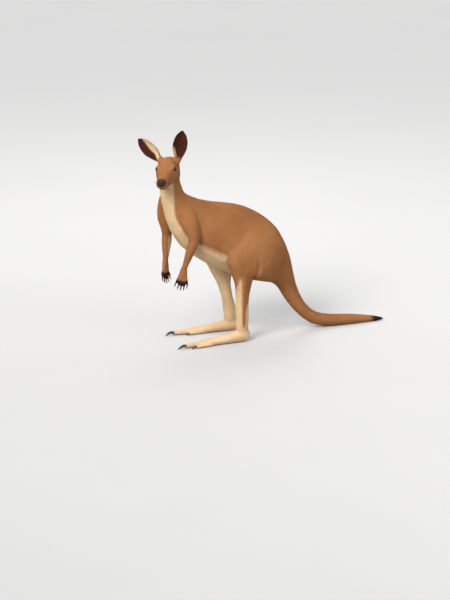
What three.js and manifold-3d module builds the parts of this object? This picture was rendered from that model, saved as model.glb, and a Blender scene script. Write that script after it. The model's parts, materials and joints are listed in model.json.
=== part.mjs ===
// A life-size kangaroo, standing still on its two hind feet and the end of its tail, its head turned to its left.
// Millimetres, +Z up. The animal faces -X, its left side is towards -Y, and the floor is at Z = 0.
//
// Every piece of flesh is a loft: a row of oval sections joined by a skin. A piece that meets another is cut
// back by a slightly grown copy of it, so that the two lie face to face with a thin seam between them.
import * as THREE from "three";
import { mergeVertices } from "three/addons/utils/BufferGeometryUtils.js";
import Module from "manifold-3d";

const wasm = await Module();
wasm.setup();

// ---------------------------------------------------------------- driving dimensions

const SEAM = 0.4; // gap between neighbouring pieces
const TRUNK_WIDTH = 264; // across the ribs and belly, coat included
const THIGH_WIDTH = 112; // through one thigh, from side to side
const STANCE_WIDTH = 216; // between the centre lines of the two hind feet
const HEAD_LENGTH = 244; // back of the skull to the tip of the nose
const EAR_LENGTH = 154;
const EAR_SPREAD = 92; // width of an ear laid flat
const EAR_THICKNESS = 4.4;
const EYE_RADIUS = 14;
const HAND_LENGTH = 88; // wrist to the longest finger tip, without its claw
const FOOT_LENGTH = 346; // heel to the longest toe tip, without its claw
const HEAD_TURN = 57; // degrees, from straight ahead to the animal's left
const HEAD_NOD = 9; // degrees, nose down

const LEFT = -1; // the sign of Y on each side
const RIGHT = 1;
const SIDES = { left: LEFT, right: RIGHT };

const COAT_BROWN = 0xa76e43;
const COAT_CREAM = 0xd6b890;
const EAR_BROWN = 0x4e2318;
const PAW_BLACK = 0x2c211f;
const CLAW_BLACK = 0x1d1716;
const EYE_BROWN = 0x1a0d08;

// ---------------------------------------------------------------- lofts

// A smooth curve through the values 0, 1, 2 ... of a list, read at any place between them.
function smooth(values, at) {
  const last = values.length - 1;
  const i = Math.min(Math.floor(at), last - 1);
  const f = at - i;
  const [before, here, next, after] = [-1, 0, 1, 2].map((k) => values[Math.min(Math.max(i + k, 0), last)]);
  const rise = (next - before) / 2;
  const fall = (after - here) / 2;
  return (
    (2 * here - 2 * next + rise + fall) * f ** 3 + (3 * next - 3 * here - 2 * rise - fall) * f ** 2 + rise * f + here
  );
}

// One oval section. `upper` and `lower` are its two ends, [x, z]; `half` is half its width along Y.
// `egg` above 0 widens the upper end, below 0 the lower one; `square` above 2 makes it boxier.
function section(upper, lower, half, { y = 0, egg = 0, square = 2 } = {}) {
  return [...upper, ...lower, half, y, egg, square];
}

// A section of something that runs along X: its middle is at height z, and it reaches `rise` above and below.
function slice(x, z, rise, half, options) {
  return section([x, z + rise], [x, z - rise], half, options);
}

// The points of the section at a place along a row of sections.
function ringAt(sections, at, sides, grow) {
  const [ux, uz, lx, lz, half, y, egg, square] = sections[0].map((_, k) => smooth(sections.map((s) => s[k]), at));
  const centre = new THREE.Vector3((ux + lx) / 2, y, (uz + lz) / 2);
  const up = new THREE.Vector3((ux - lx) / 2, 0, (uz - lz) / 2);
  up.setLength(up.length() + grow);
  const points = [];
  for (let i = 0; i < sides; i++) {
    const angle = (2 * Math.PI * i) / sides;
    const [c, s] = [Math.cos(angle), Math.sin(angle)].map((v) => Math.sign(v) * Math.abs(v) ** (2 / square));
    const point = centre.clone().addScaledVector(up, s);
    point.y += c * (half + grow) * (1 + egg * s);
    points.push(point);
  }
  return { centre, points };
}

// Joins rings of points into one closed body, with a pole at each end.
function skinOver(rings) {
  const sides = rings[0].points.length;
  const places = rings.flatMap((ring) => ring.points);
  const first = places.push(rings[0].centre) - 1;
  const last = places.push(rings.at(-1).centre) - 1;
  const end = (rings.length - 1) * sides;
  const faces = [];
  for (let i = 0; i < sides; i++) {
    const j = (i + 1) % sides;
    faces.push(first, j, i, last, end + i, end + j);
    for (let k = 0; k < end; k += sides) {
      faces.push(k + i, k + j, k + sides + j, k + i, k + sides + j, k + sides + i);
    }
  }
  return closedBody(places, faces);
}

// A solid from its corners and its triangles, which are turned to face out if they all face in.
function closedBody(places, faces) {
  const corners = faces.map((k) => places[k]);
  let volume = 0;
  for (let i = 0; i < corners.length; i += 3) volume += corners[i].dot(corners[i + 1].clone().cross(corners[i + 2]));
  const geometry = new THREE.BufferGeometry().setFromPoints(places);
  geometry.setIndex(volume > 0 ? faces : faces.toReversed());
  return solidOf(geometry);
}

// A ring drawn in towards its centre and moved along `way`, for a rounded end of that height.
function domed(ring, way, height) {
  const angle = THREE.MathUtils.degToRad(52);
  const shift = way.clone().multiplyScalar(height * Math.sin(angle));
  return {
    centre: ring.centre.clone().addScaledVector(way, height),
    points: ring.points.map((p) => p.clone().lerp(ring.centre, 1 - Math.cos(angle)).add(shift)),
  };
}

// The ring that closes one end of a loft: a dome, or the end itself moved out by `grow`.
function endRing(end, inner, dome, grow) {
  const way = end.centre.clone().sub(inner.centre).normalize();
  if (dome) return domed(end, way, dome + grow);
  const shifted = (point) => point.clone().addScaledVector(way, grow);
  return { centre: shifted(end.centre), points: end.points.map(shifted) };
}

// The body over a row of sections, from one place on it to another. startDome and endDome round its ends by
// that height, and `grow` makes it that much larger all over.
function loft(sections, options = {}) {
  const { sides = 16, rings = 6, from = 0, to = sections.length - 1, startDome = 0, endDome = 0, grow = 0 } = options;
  const made = Array.from({ length: rings + 1 }, (_, k) =>
    ringAt(sections, from + ((to - from) * k) / rings, sides, grow),
  );
  const start = endRing(made[0], made[1], startDome, grow);
  const end = endRing(made.at(-1), made.at(-2), endDome, grow);
  const outer = [startDome || grow ? [start] : [], made, endDome || grow ? [end] : []];
  return skinOver(outer.flat());
}

// A round tube along a smooth curve through some points, with its own radius at each of them.
function tube(points, radii, { sides = 8, rings = 5, grow = 0 } = {}) {
  const curve = new THREE.CatmullRomCurve3(points.map((p) => new THREE.Vector3(...p)));
  const frames = curve.computeFrenetFrames(rings);
  const made = Array.from({ length: rings + 1 }, (_, k) => {
    const centre = curve.getPoint(k / rings);
    const radius = smooth(radii, (k / rings) * (radii.length - 1)) + grow;
    const ring = Array.from({ length: sides }, (_, i) => {
      const angle = (2 * Math.PI * i) / sides;
      return centre
        .clone()
        .addScaledVector(frames.normals[k], radius * Math.cos(angle))
        .addScaledVector(frames.binormals[k], radius * Math.sin(angle));
    });
    return { centre, points: ring };
  });
  return skinOver([...made, domed(made.at(-1), frames.tangents[rings], radii.at(-1) + grow)]);
}

// An egg-shaped swelling, such as a cheek: an ellipsoid with the given half sizes.
function swelling(place, halfSizes, grow = 0) {
  const ball = new THREE.SphereGeometry(1, 8, 4);
  ball.scale(...halfSizes.map((size) => size + grow));
  ball.translate(...place);
  return solidOf(ball);
}

// ---------------------------------------------------------------- solids and meshes

function solidOf(geometry) {
  geometry.deleteAttribute("normal");
  geometry.deleteAttribute("uv");
  const merged = mergeVertices(geometry, 1e-4);
  return new wasm.Manifold(
    new wasm.Mesh({
      numProp: 3,
      vertProperties: merged.attributes.position.array,
      triVerts: new Uint32Array(merged.index.array),
    }),
  );
}

function joined(solids) {
  return solids.reduce((whole, solid) => whole.add(solid));
}

// A solid without what its neighbours take, and without the crumbs that the cut leaves.
function without(solid, ...neighbours) {
  const bodies = neighbours.reduce((left, other) => left.subtract(other), solid).decompose();
  return bodies.reduce((most, body) => (body.volume() > most.volume() ? body : most));
}

// What is above the floor, which leaves small flats where a piece stands on it.
function aboveFloor(solid) {
  const depth = 100;
  const ground = new THREE.BoxGeometry(4000, 4000, depth);
  ground.translate(0, 0, -depth / 2);
  return without(solid, solidOf(ground));
}

function meshOf(name, solid, colour, { roughness = 0.85 } = {}) {
  const { vertProperties, triVerts } = solid.getMesh();
  const geometry = new THREE.BufferGeometry();
  geometry.setAttribute("position", new THREE.BufferAttribute(new Float32Array(vertProperties), 3));
  geometry.setIndex(new THREE.BufferAttribute(new Uint32Array(triVerts), 1));
  geometry.computeVertexNormals();
  const mesh = new THREE.Mesh(geometry, new THREE.MeshStandardMaterial({ color: colour, roughness, metalness: 0 }));
  mesh.name = name;
  return mesh;
}

// ---------------------------------------------------------------- trunk and tail

const RIB = TRUNK_WIDTH / 2;

// Neck root to tail tip. Each section runs from the line of the back to the line of the belly.
const SPINE = [
  section([-272, 764], [-384, 692], RIB * 0.48, { egg: 0.05 }), // root of the neck
  section([-205, 728], [-356, 594], RIB * 0.72, { egg: 0.05 }), // withers to breastbone
  section([-114, 704], [-292, 488], RIB * 0.88, { egg: -0.04 }), // deepest part of the chest
  section([-25, 690], [-182, 404], RIB * 0.97, { egg: -0.08 }), // last ribs
  section([72, 661], [-75, 344], RIB, { egg: -0.1 }), // loin to belly
  section([162, 607], [20, 303], RIB * 0.93, { egg: -0.05 }), // hips
  section([238, 521], [110, 272], RIB * 0.8),
  section([288, 404], [194, 256], RIB * 0.62), // seat
  section([312, 308], [232, 222], RIB * 0.45), // root of the tail
  section([334, 226], [268, 164], RIB * 0.37),
  section([376, 142], [322, 96], RIB * 0.32),
  section([438, 86], [408, 24], RIB * 0.285, { square: 2.1 }),
  section([520, 64], [512, -1.5], RIB * 0.265, { square: 2.2 }), // where it comes to lie on the floor
  section([620, 54], [618, -1.5], RIB * 0.235, { square: 2.2 }),
  section([706, 41], [704, -1.5], RIB * 0.18, { square: 2.2 }),
  section([770, 28], [769, -1], RIB * 0.12),
  section([806, 17], [806, 3], RIB * 0.06), // tip
];

// The lengths that the trunk and tail are parted into, by place along SPINE.
const SPINE_PARTS = [
  { name: "trunk_chest", from: 0, to: 2.6, sides: 16, rings: 4, startDome: 16 },
  { name: "trunk_belly", from: 2.6, to: 4.6, sides: 16, rings: 3 },
  { name: "trunk_rump", from: 4.6, to: 7.6, sides: 16, rings: 5 },
  { name: "tail_root", from: 7.6, to: 10, sides: 11, rings: 4 },
  { name: "tail_middle", from: 10, to: 12.6, sides: 10, rings: 5 },
  { name: "tail_end", from: 12.6, to: 14.2, sides: 10, rings: 3 },
  { name: "tail_tip", from: 14.2, to: 16, sides: 8, rings: 3, endDome: 9, colour: PAW_BLACK },
];

function spinePart({ from, to, ...options }, grow) {
  return loft(SPINE, { ...options, from, to, grow });
}

// ---------------------------------------------------------------- neck

const NECK = [
  section([-226, 732], [-356, 640], 74),
  section([-272, 766], [-388, 706], 64),
  section([-290, 812], [-398, 764], 57),
  section([-297, 862], [-398, 828], 52),
  section([-303, 904], [-390, 880], 46),
];

function neck(grow = 0) {
  return loft(NECK, { sides: 13, rings: 4, startDome: 10, endDome: 10, grow });
}

// ---------------------------------------------------------------- head, along +X with its left side on +Y

const H = HEAD_LENGTH;
const SKULL = [
  slice(-0.34 * H, 0.03 * H, 0.12 * H, 0.12 * H),
  slice(-0.24 * H, 0.02 * H, 0.2 * H, 0.2 * H),
  slice(-0.09 * H, 0.01 * H, 0.236 * H, 0.236 * H, { egg: -0.04 }), // crown to the angle of the jaw
  slice(0.065 * H, -0.004 * H, 0.226 * H, 0.246 * H, { egg: -0.04 }), // cheek bones
  slice(0.2 * H, -0.024 * H, 0.194 * H, 0.206 * H, { egg: -0.02 }), // eyes
  slice(0.345 * H, -0.045 * H, 0.164 * H, 0.158 * H, { square: 2.2 }), // bridge of the nose
  slice(0.49 * H, -0.056 * H, 0.141 * H, 0.136 * H, { square: 2.3 }), // muzzle
  slice(0.585 * H, -0.062 * H, 0.124 * H, 0.122 * H, { square: 2.3 }),
  slice(0.64 * H, -0.062 * H, 0.094 * H, 0.096 * H, { square: 2.2 }), // lips
];
const EYE_PLACE = [0.165 * H, 0.168 * H, 0.088 * H];

function eye(side, grow = 0) {
  const ball = new THREE.SphereGeometry(EYE_RADIUS + grow, 9, 6);
  ball.rotateX(Math.PI / 2);
  ball.translate(EYE_PLACE[0], -side * EYE_PLACE[1], EYE_PLACE[2]);
  return solidOf(ball);
}

function head(grow = 0) {
  const swellings = [
    [[0.635 * H, 0, 0.004 * H], [0.05 * H, 0.078 * H, 0.048 * H]], // nose pad
    [[0.5 * H, 0, -0.168 * H], [0.15 * H, 0.075 * H, 0.045 * H]], // chin
  ];
  for (const side of [LEFT, RIGHT]) {
    swellings.push(
      [[-0.02 * H, side * 0.172 * H, -0.09 * H], [0.2 * H, 0.078 * H, 0.13 * H]], // cheek
      [[0.14 * H, side * 0.132 * H, 0.136 * H], [0.15 * H, 0.07 * H, 0.048 * H]], // brow
      [[0.54 * H, side * 0.066 * H, -0.098 * H], [0.13 * H, 0.066 * H, 0.074 * H]], // whisker pad
      [[-0.14 * H, side * 0.155 * H, 0.15 * H], [0.11 * H, 0.08 * H, 0.092 * H]], // root of the ear
    );
  }
  const skull = loft(SKULL, { sides: 14, rings: 8, startDome: 0.05 * H, endDome: 0.03 * H, grow });
  return joined([skull, ...swellings.map(([place, sizes]) => swelling(place, sizes, grow))]);
}

// ---------------------------------------------------------------- ears

// How the ear's gristle lies: how far it spreads to each side, and how far it is rolled up, from root to tip.
const EAR_SHAPE = {
  spread: [0.8, 0.9, 1.0, 0.98, 0.86, 0.62, 0.08],
  roll: [150, 114, 80, 64, 56, 46, 34],
};

// A leaf rolled into a cup that opens towards +X, its root at the origin and its tip up +Z.
function ear() {
  const across = 6;
  const along = 7;
  const places = [];
  const index = (side, i, k) => (side * (along + 1) + k) * (across + 1) + i;
  for (const offset of [EAR_THICKNESS / 2, -EAR_THICKNESS / 2]) {
    for (let k = 0; k <= along; k++) {
      const at = (k / along) * (EAR_SHAPE.spread.length - 1);
      const reach = (EAR_SPREAD / 2) * smooth(EAR_SHAPE.spread, at);
      const roll = THREE.MathUtils.degToRad(smooth(EAR_SHAPE.roll, at));
      const radius = reach / roll;
      const thinned = radius + offset * Math.min(1, radius / 10);
      for (let i = 0; i <= across; i++) {
        const angle = roll * ((2 * i) / across - 1);
        const back = radius * Math.max(Math.cos(roll), 0) - thinned * Math.cos(angle);
        places.push(new THREE.Vector3(back, thinned * Math.sin(angle), (EAR_LENGTH * k) / along));
      }
    }
  }
  const faces = [];
  const quad = (a, b, c, d) => faces.push(a, b, c, a, c, d);
  for (let k = 0; k < along; k++) {
    for (let i = 0; i < across; i++) {
      quad(index(0, i, k), index(0, i + 1, k), index(0, i + 1, k + 1), index(0, i, k + 1));
      quad(index(1, i, k + 1), index(1, i + 1, k + 1), index(1, i + 1, k), index(1, i, k));
    }
    quad(index(0, 0, k), index(0, 0, k + 1), index(1, 0, k + 1), index(1, 0, k));
    quad(index(0, across, k + 1), index(0, across, k), index(1, across, k), index(1, across, k + 1));
  }
  for (let i = 0; i < across; i++) {
    quad(index(0, i + 1, 0), index(0, i, 0), index(1, i, 0), index(1, i + 1, 0));
    quad(index(0, i, along), index(0, i + 1, along), index(1, i + 1, along), index(1, i, along));
  }
  return closedBody(places, faces);
}

// Each ear moves by itself: `out` leans it away from the head, `back` tips it back, and `turn` aims its cup outwards.
const EAR_POSE = {
  left: { out: 8, back: 20, turn: 14 },
  right: { out: 50, back: 12, turn: 0 },
};
const EAR_ROOT = [-0.125 * H, 0.175 * H, 0.155 * H];

function earMatrix(name, side) {
  const pose = EAR_POSE[name];
  const [out, back, turn] = [pose.out, pose.back, pose.turn].map(THREE.MathUtils.degToRad);
  const outward = -side; // the head's left is on its +Y
  return new THREE.Matrix4()
    .makeTranslation(EAR_ROOT[0], outward * EAR_ROOT[1], EAR_ROOT[2])
    .multiply(new THREE.Matrix4().makeRotationX(-outward * out))
    .multiply(new THREE.Matrix4().makeRotationY(-back))
    .multiply(new THREE.Matrix4().makeRotationZ(outward * turn));
}

// ---------------------------------------------------------------- arms

// Each arm hangs from the shoulder. The left elbow is drawn back, and the right one is carried forward.
const ARM_POSE = {
  left: {
    shoulder: [-284, 92, 662],
    elbow: [-264, 122, 548],
    wrist: [-318, 114, 400],
    handSwing: -4,
    flesh: [
      [-0.3, 36, 20],
      [0.0, 50, 34],
      [0.35, 45, 36],
      [0.72, 36, 31],
      [1.0, 30, 26],
    ],
  },
  right: {
    shoulder: [-330, 98, 690],
    elbow: [-314, 124, 528],
    wrist: [-328, 113, 388],
    handSwing: 4,
    flesh: [
      [-0.3, 39, 26],
      [0.0, 48, 35],
      [0.25, 52, 38],
      [0.5, 48, 37],
      [0.77, 35, 32],
      [1.0, 29, 26],
    ],
  },
};

// A row of sections square to a straight bone from one point to another: [share along it, rise, half width].
function alongBone([ax, ay, az], [bx, by, bz], side, rows) {
  const way = new THREE.Vector2(bx - ax, bz - az).normalize();
  return rows.map(([share, rise, half, shift = 0]) => {
    const x = ax + (bx - ax) * share + way.y * shift;
    const z = az + (bz - az) * share - way.x * shift;
    const y = side * (ay + (by - ay) * share);
    return section([x - way.y * rise, z + way.x * rise], [x + way.y * rise, z - way.x * rise], half, { y });
  });
}

function upperArm(name, side, grow = 0) {
  const { shoulder, elbow, flesh } = ARM_POSE[name];
  return loft(alongBone(shoulder, elbow, side, flesh), { sides: 10, rings: 5, startDome: 14, endDome: 20, grow });
}

function forearm(name, side, grow = 0) {
  const { elbow, wrist } = ARM_POSE[name];
  const rows = [
    [-0.02, 26, 23],
    [0.2, 29, 25],
    [0.5, 23, 20],
    [0.8, 16.5, 16],
    [1.0, 15.5, 17],
  ];
  return loft(alongBone(elbow, wrist, side, rows), { sides: 10, rings: 4, startDome: 16, endDome: 6, grow });
}

// ---------------------------------------------------------------- hands, along +X with the palm towards -Z

const P = HAND_LENGTH;
const PALM = [
  slice(-0.1 * P, 0, 0.15 * P, 0.19 * P),
  slice(0.1 * P, 0, 0.16 * P, 0.22 * P),
  slice(0.32 * P, 0, 0.155 * P, 0.27 * P),
  slice(0.52 * P, -0.01 * P, 0.125 * P, 0.27 * P),
];
// Five fingers, from the outer one to the inner one: where each leaves the palm, and where it ends.
const FINGERS = Array.from({ length: 5 }, (_, k) => {
  const fan = (k - 2) / 2; // -1 to 1 across the palm
  const reach = P * (0.98 - 0.16 * fan ** 2);
  return { root: [0.42 * P, fan * 0.2 * P], tip: [reach, fan * 0.32 * P] };
});
const FINGER_RADIUS = 0.078 * P;
const FINGER_CLAW = 0.26 * P;

function finger({ root, tip }, grow) {
  const middle = root.map((v, k) => (v + tip[k]) / 2);
  const path = [[...root, 0], [...middle, 0.035 * P], [...tip, -0.05 * P]];
  return tube(path, [1.1, 1, 0.86].map((k) => k * FINGER_RADIUS), { sides: 5, rings: 2, grow });
}

function hand(grow = 0) {
  const palm = loft(PALM, { sides: 9, rings: 2, startDome: 0.06 * P, endDome: 0.1 * P, grow });
  return joined([palm, ...FINGERS.map((one) => finger(one, grow))]);
}

// A claw that curves down from a finger or toe tip.
function claw([x, y, z], length, radius, spread, grow) {
  const path = [
    [x - 0.3 * length, y - 0.3 * spread, z + 0.02 * length],
    [x + 0.35 * length, y + 0.35 * spread, z + 0.02 * length],
    [x + length, y + spread, z - 0.3 * length],
  ];
  return tube(path, [radius, radius * 0.85, radius * 0.2], { sides: 5, rings: 2, grow });
}

function fingerClaw({ root, tip }, grow) {
  return claw([...tip, -0.05 * P], FINGER_CLAW, FINGER_RADIUS * 0.6, (tip[1] - root[1]) * 0.3, grow);
}

function handMatrix(name, side) {
  const { elbow, wrist, handSwing } = ARM_POSE[name];
  const limp = new THREE.Vector3(0, 0, -1);
  const swing = THREE.MathUtils.degToRad(handSwing);
  limp.applyAxisAngle(new THREE.Vector3(0, 1, 0), -swing);
  const bone = new THREE.Vector3(wrist[0] - elbow[0], side * (wrist[1] - elbow[1]), wrist[2] - elbow[2]).normalize();
  const along = limp.multiplyScalar(2).add(bone).normalize();
  const backOfHand = new THREE.Vector3(-0.5, side * 0.87, 0);
  const across = backOfHand.clone().cross(along).normalize();
  const outOfHand = along.clone().cross(across);
  return new THREE.Matrix4()
    .makeBasis(along, across, outOfHand)
    .setPosition(wrist[0], side * wrist[1], wrist[2]);
}

// ---------------------------------------------------------------- legs

// How far each leg's knee, ankle and foot are set forward of the plain stance.
const LEG_POSE = {
  left: { knee: 0, ankle: 0, foot: 0 },
  right: { knee: 38, ankle: -22, foot: -32 },
};

function thigh(name, side, grow = 0) {
  const { knee } = LEG_POSE[name];
  const half = THIGH_WIDTH / 2;
  const at = (y) => ({ y: side * y });
  return loft(
    [
      section([76, 606], [204, 560], half * 0.5, at(74)),
      section([6, 570], [228, 468], half * 0.9, at(96)), // hip
      section([-46, 520], [206, 366], half, at(110)),
      section([-84 - 0.5 * knee, 470], [144, 318], half * 0.98, at(117)),
      section([-102 - knee, 426], [86, 314], half * 0.88, at(120)), // knee
      section([-84 - knee, 384], [54, 324], half * 0.74, at(120)),
    ],
    { sides: 14, rings: 5, startDome: 22, endDome: 20, grow },
  );
}

function shank(name, side, grow = 0) {
  const { knee, ankle } = LEG_POSE[name];
  const at = (y) => ({ y: side * y });
  const below = at(STANCE_WIDTH / 2);
  return loft(
    [
      section([-96 - knee, 424], [62, 396], 47, at(121)),
      section([-75 - knee, 366], [60 - 0.2 * knee, 344], 45, at(119)),
      section([-50 - 0.85 * knee, 306], [42 - 0.35 * knee, 298], 38, at(116)), // calf
      section([-42 - 0.3 * knee - 0.2 * ankle, 244], [31 - 0.37 * knee - 0.2 * ankle, 244], 31, at(113)),
      section([-40 - 0.5 * ankle, 176], [29 - 0.26 * knee - 0.5 * ankle, 180], 27, below),
      section([-39 - 0.8 * ankle, 112], [31 - 0.8 * ankle, 118], 26, below),
      section([-41 - ankle, 68], [28 - ankle, 58], 26, below), // ankle
    ],
    { sides: 10, rings: 6, startDome: 14, endDome: 12, grow },
  );
}

// ---------------------------------------------------------------- feet, along +X with the outer side on +Y

const F = FOOT_LENGTH;
const SOLE = [
  slice(-0.085 * F, 0.104 * F, 0.076 * F, 0.056 * F), // heel
  slice(-0.02 * F, 0.1 * F, 0.106 * F, 0.073 * F),
  slice(0.09 * F, 0.088 * F, 0.094 * F, 0.076 * F),
  slice(0.24 * F, 0.07 * F, 0.076 * F, 0.07 * F),
  slice(0.41 * F, 0.056 * F, 0.061 * F, 0.07 * F),
  slice(0.55 * F, 0.048 * F, 0.053 * F, 0.076 * F, { square: 2.2 }),
  slice(0.66 * F, 0.042 * F, 0.047 * F, 0.07 * F, { square: 2.2 }), // ball
];
// The great fourth toe, the outer fifth toe, and the second and third, which are bound in one skin.
const TOES = [
  { root: 0.58, tip: 0.9, rootY: 0.0, tipY: 0.006, radius: 0.042, height: 0.038, claws: [{ dy: 0, length: 0.112 }] },
  { root: 0.5, tip: 0.755, rootY: 0.05, tipY: 0.082, radius: 0.029, height: 0.027, claws: [{ dy: 0, length: 0.078 }] },
  {
    root: 0.42,
    tip: 0.69,
    rootY: -0.044,
    tipY: -0.07,
    radius: 0.023,
    height: 0.024,
    claws: [
      { dy: -0.011, length: 0.046 },
      { dy: 0.011, length: 0.046 },
    ],
  },
];

function toe({ root, tip, rootY, tipY, radius, height }, outer, grow) {
  const path = [0, 0.5, 1].map((share) => [
    F * (root + (tip - root) * share),
    outer * F * (rootY + (tipY - rootY) * share),
    F * height * (1 - 0.04 * share),
  ]);
  return tube(path, [1.05, 1.0, 0.9].map((k) => k * F * radius), { sides: 6, rings: 2, grow });
}

const TOE_CLAWS = TOES.flatMap((one) => one.claws.map((nail) => ({ ...one, ...nail })));

function toeClaw({ tip, tipY, radius, height, dy, length }, outer, grow) {
  const place = [F * tip, F * (outer * tipY + dy), F * height];
  return claw(place, F * (length + 0.3 * radius), F * radius * (dy ? 0.42 : 0.55), 0, grow);
}

// `outer` is 1 where the animal's outer side is on the foot's +Y, and -1 on the other foot.
function foot(outer, grow = 0) {
  const sole = loft(SOLE, { sides: 10, rings: 6, startDome: 0.03 * F, endDome: 0.05 * F, grow });
  return joined([sole, ...TOES.map((one) => toe(one, outer, grow))]);
}

function footMatrix(name, side) {
  const toesOut = THREE.MathUtils.degToRad(3);
  return new THREE.Matrix4()
    .makeTranslation(-LEG_POSE[name].foot, (side * STANCE_WIDTH) / 2, 0)
    .multiply(new THREE.Matrix4().makeRotationZ(Math.PI - side * toesOut));
}

// ---------------------------------------------------------------- the whole animal

const kangaroo = new THREE.Group();
const placedCutters = []; // grown copies of the pieces made so far, in the animal's frame

function groupAt(matrix) {
  const group = new THREE.Group();
  matrix.decompose(group.position, group.quaternion, group.scale);
  kangaroo.add(group);
  return { group, matrix };
}

// Adds a piece that gives way to all the pieces before it. `shape` makes its solid, grown by what it is given.
function addPiece(name, shape, colour, { at = whole, roughness } = {}) {
  const toAnimal = at.matrix.toArray();
  const fromAnimal = at.matrix.clone().invert().toArray();
  const standing = without(shape(0).transform(toAnimal), ...placedCutters);
  const onFloor = aboveFloor(standing);
  at.group.add(meshOf(name, onFloor.transform(fromAnimal), colour, { roughness }));
  placedCutters.push(shape(SEAM).transform(toAnimal));
}

const whole = groupAt(new THREE.Matrix4());

const headPlace = groupAt(
  new THREE.Matrix4()
    .makeTranslation(-360, -12, 881)
    .multiply(new THREE.Matrix4().makeRotationZ(THREE.MathUtils.degToRad(180 + HEAD_TURN)))
    .multiply(new THREE.Matrix4().makeRotationY(THREE.MathUtils.degToRad(HEAD_NOD))),
);
for (const [name, side] of Object.entries(SIDES)) {
  addPiece(`eye_${name}`, (grow) => eye(side, grow), EYE_BROWN, { at: headPlace, roughness: 0.08 });
}
addPiece("head", head, COAT_BROWN, { at: headPlace });
for (const [name, side] of Object.entries(SIDES)) {
  const earPlace = groupAt(headPlace.matrix.clone().multiply(earMatrix(name, side)));
  addPiece(`ear_${name}`, ear, EAR_BROWN, { at: earPlace });
}
addPiece("neck", neck, COAT_BROWN);

for (const [name, side] of Object.entries(SIDES)) {
  const handPlace = groupAt(handMatrix(name, side));
  addPiece(`hand_${name}`, hand, PAW_BLACK, { at: handPlace });
  FINGERS.forEach((one, k) => {
    const nail = (grow) => fingerClaw(one, grow);
    addPiece(`hand_claw_${name}_${k + 1}`, nail, CLAW_BLACK, { at: handPlace, roughness: 0.35 });
  });
  addPiece(`upper_arm_${name}`, (grow) => upperArm(name, side, grow), COAT_BROWN);
  addPiece(`forearm_${name}`, (grow) => forearm(name, side, grow), COAT_BROWN);

  const footPlace = groupAt(footMatrix(name, side));
  const outer = -side; // the foot points backwards in its own frame
  addPiece(`foot_${name}`, (grow) => foot(outer, grow), COAT_CREAM, { at: footPlace });
  TOE_CLAWS.forEach((one, k) => {
    const nail = (grow) => toeClaw(one, outer, grow);
    addPiece(`foot_claw_${name}_${k + 1}`, nail, CLAW_BLACK, { at: footPlace, roughness: 0.35 });
  });
  addPiece(`thigh_${name}`, (grow) => thigh(name, side, grow), COAT_BROWN);
  addPiece(`shank_${name}`, (grow) => shank(name, side, grow), COAT_CREAM);
}
for (const { name, colour = COAT_BROWN, ...part } of SPINE_PARTS) {
  addPiece(name, (grow) => spinePart(part, grow), colour);
}

// The origin is on the floor, under the middle of the animal's box.
kangaroo.updateMatrixWorld(true);
const box = new THREE.Box3().setFromObject(kangaroo, true);
kangaroo.position.set(-(box.min.x + box.max.x) / 2, -(box.min.y + box.max.y) / 2, -box.min.z);

export default kangaroo;
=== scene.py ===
# %% [markdown]
# # A life-size standing kangaroo
#
# The animal is built as a museum would show it: one skin over the whole
# body, a coat of solid tufts over the skin, glass eyes and horn claws.
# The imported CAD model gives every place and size. It is loaded first and
# stays fixed, and all that follows is laid over it or just inside it.

# %% Load the fixed frame
import json
import math
from contextlib import contextmanager

import bmesh
import bpy
import numpy as np
from mathutils import Matrix, Vector
from mathutils.bvhtree import BVHTree

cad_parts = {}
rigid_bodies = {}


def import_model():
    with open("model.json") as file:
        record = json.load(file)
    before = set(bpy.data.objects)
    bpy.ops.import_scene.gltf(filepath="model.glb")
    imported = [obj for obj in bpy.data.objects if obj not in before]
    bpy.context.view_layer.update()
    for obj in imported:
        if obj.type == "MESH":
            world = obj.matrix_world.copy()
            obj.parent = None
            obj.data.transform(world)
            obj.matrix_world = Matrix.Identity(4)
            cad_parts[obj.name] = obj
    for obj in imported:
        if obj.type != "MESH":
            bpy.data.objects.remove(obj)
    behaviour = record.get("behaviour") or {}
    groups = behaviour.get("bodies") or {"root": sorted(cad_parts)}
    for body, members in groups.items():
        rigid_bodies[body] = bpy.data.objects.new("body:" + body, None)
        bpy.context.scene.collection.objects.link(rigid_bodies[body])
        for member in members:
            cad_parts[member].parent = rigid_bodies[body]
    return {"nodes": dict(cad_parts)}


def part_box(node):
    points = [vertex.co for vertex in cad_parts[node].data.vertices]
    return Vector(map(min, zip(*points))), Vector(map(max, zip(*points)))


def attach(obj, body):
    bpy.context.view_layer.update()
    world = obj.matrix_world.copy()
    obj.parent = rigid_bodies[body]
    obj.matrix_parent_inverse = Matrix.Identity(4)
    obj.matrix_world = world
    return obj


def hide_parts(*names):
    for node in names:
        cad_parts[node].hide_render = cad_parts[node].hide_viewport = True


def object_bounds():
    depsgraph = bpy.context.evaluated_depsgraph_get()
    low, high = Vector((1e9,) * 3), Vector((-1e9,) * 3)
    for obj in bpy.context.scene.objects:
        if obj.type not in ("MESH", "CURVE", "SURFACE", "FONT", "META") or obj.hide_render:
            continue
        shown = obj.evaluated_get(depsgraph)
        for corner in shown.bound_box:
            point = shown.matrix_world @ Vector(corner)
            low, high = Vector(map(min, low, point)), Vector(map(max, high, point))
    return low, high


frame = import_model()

cad_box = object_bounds()
nodes = frame["nodes"]
TAIL_TIP_X = 0.6369  # where the tables below put the end of the tail
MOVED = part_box("tail_tip")[1].x - TAIL_TIP_X
print("tables moved by", round(MOVED, 4))
print("nodes:", len(nodes), "box:", [round(v, 3) for v in (*cad_box[0], *cad_box[1])])

# %% [markdown]
# ## The camera, the floor and the light
#
# A long lens from far away keeps the outline close to a flat drawing, so
# the legs and the head keep their true sizes against each other. The floor
# is a wide pale sheet, like the paper sweep of a studio. A broad soft light
# from the front left shapes the body, so wide and far that the floor is lit
# evenly, with two soft panels and an even sky to open the shadows.

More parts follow.
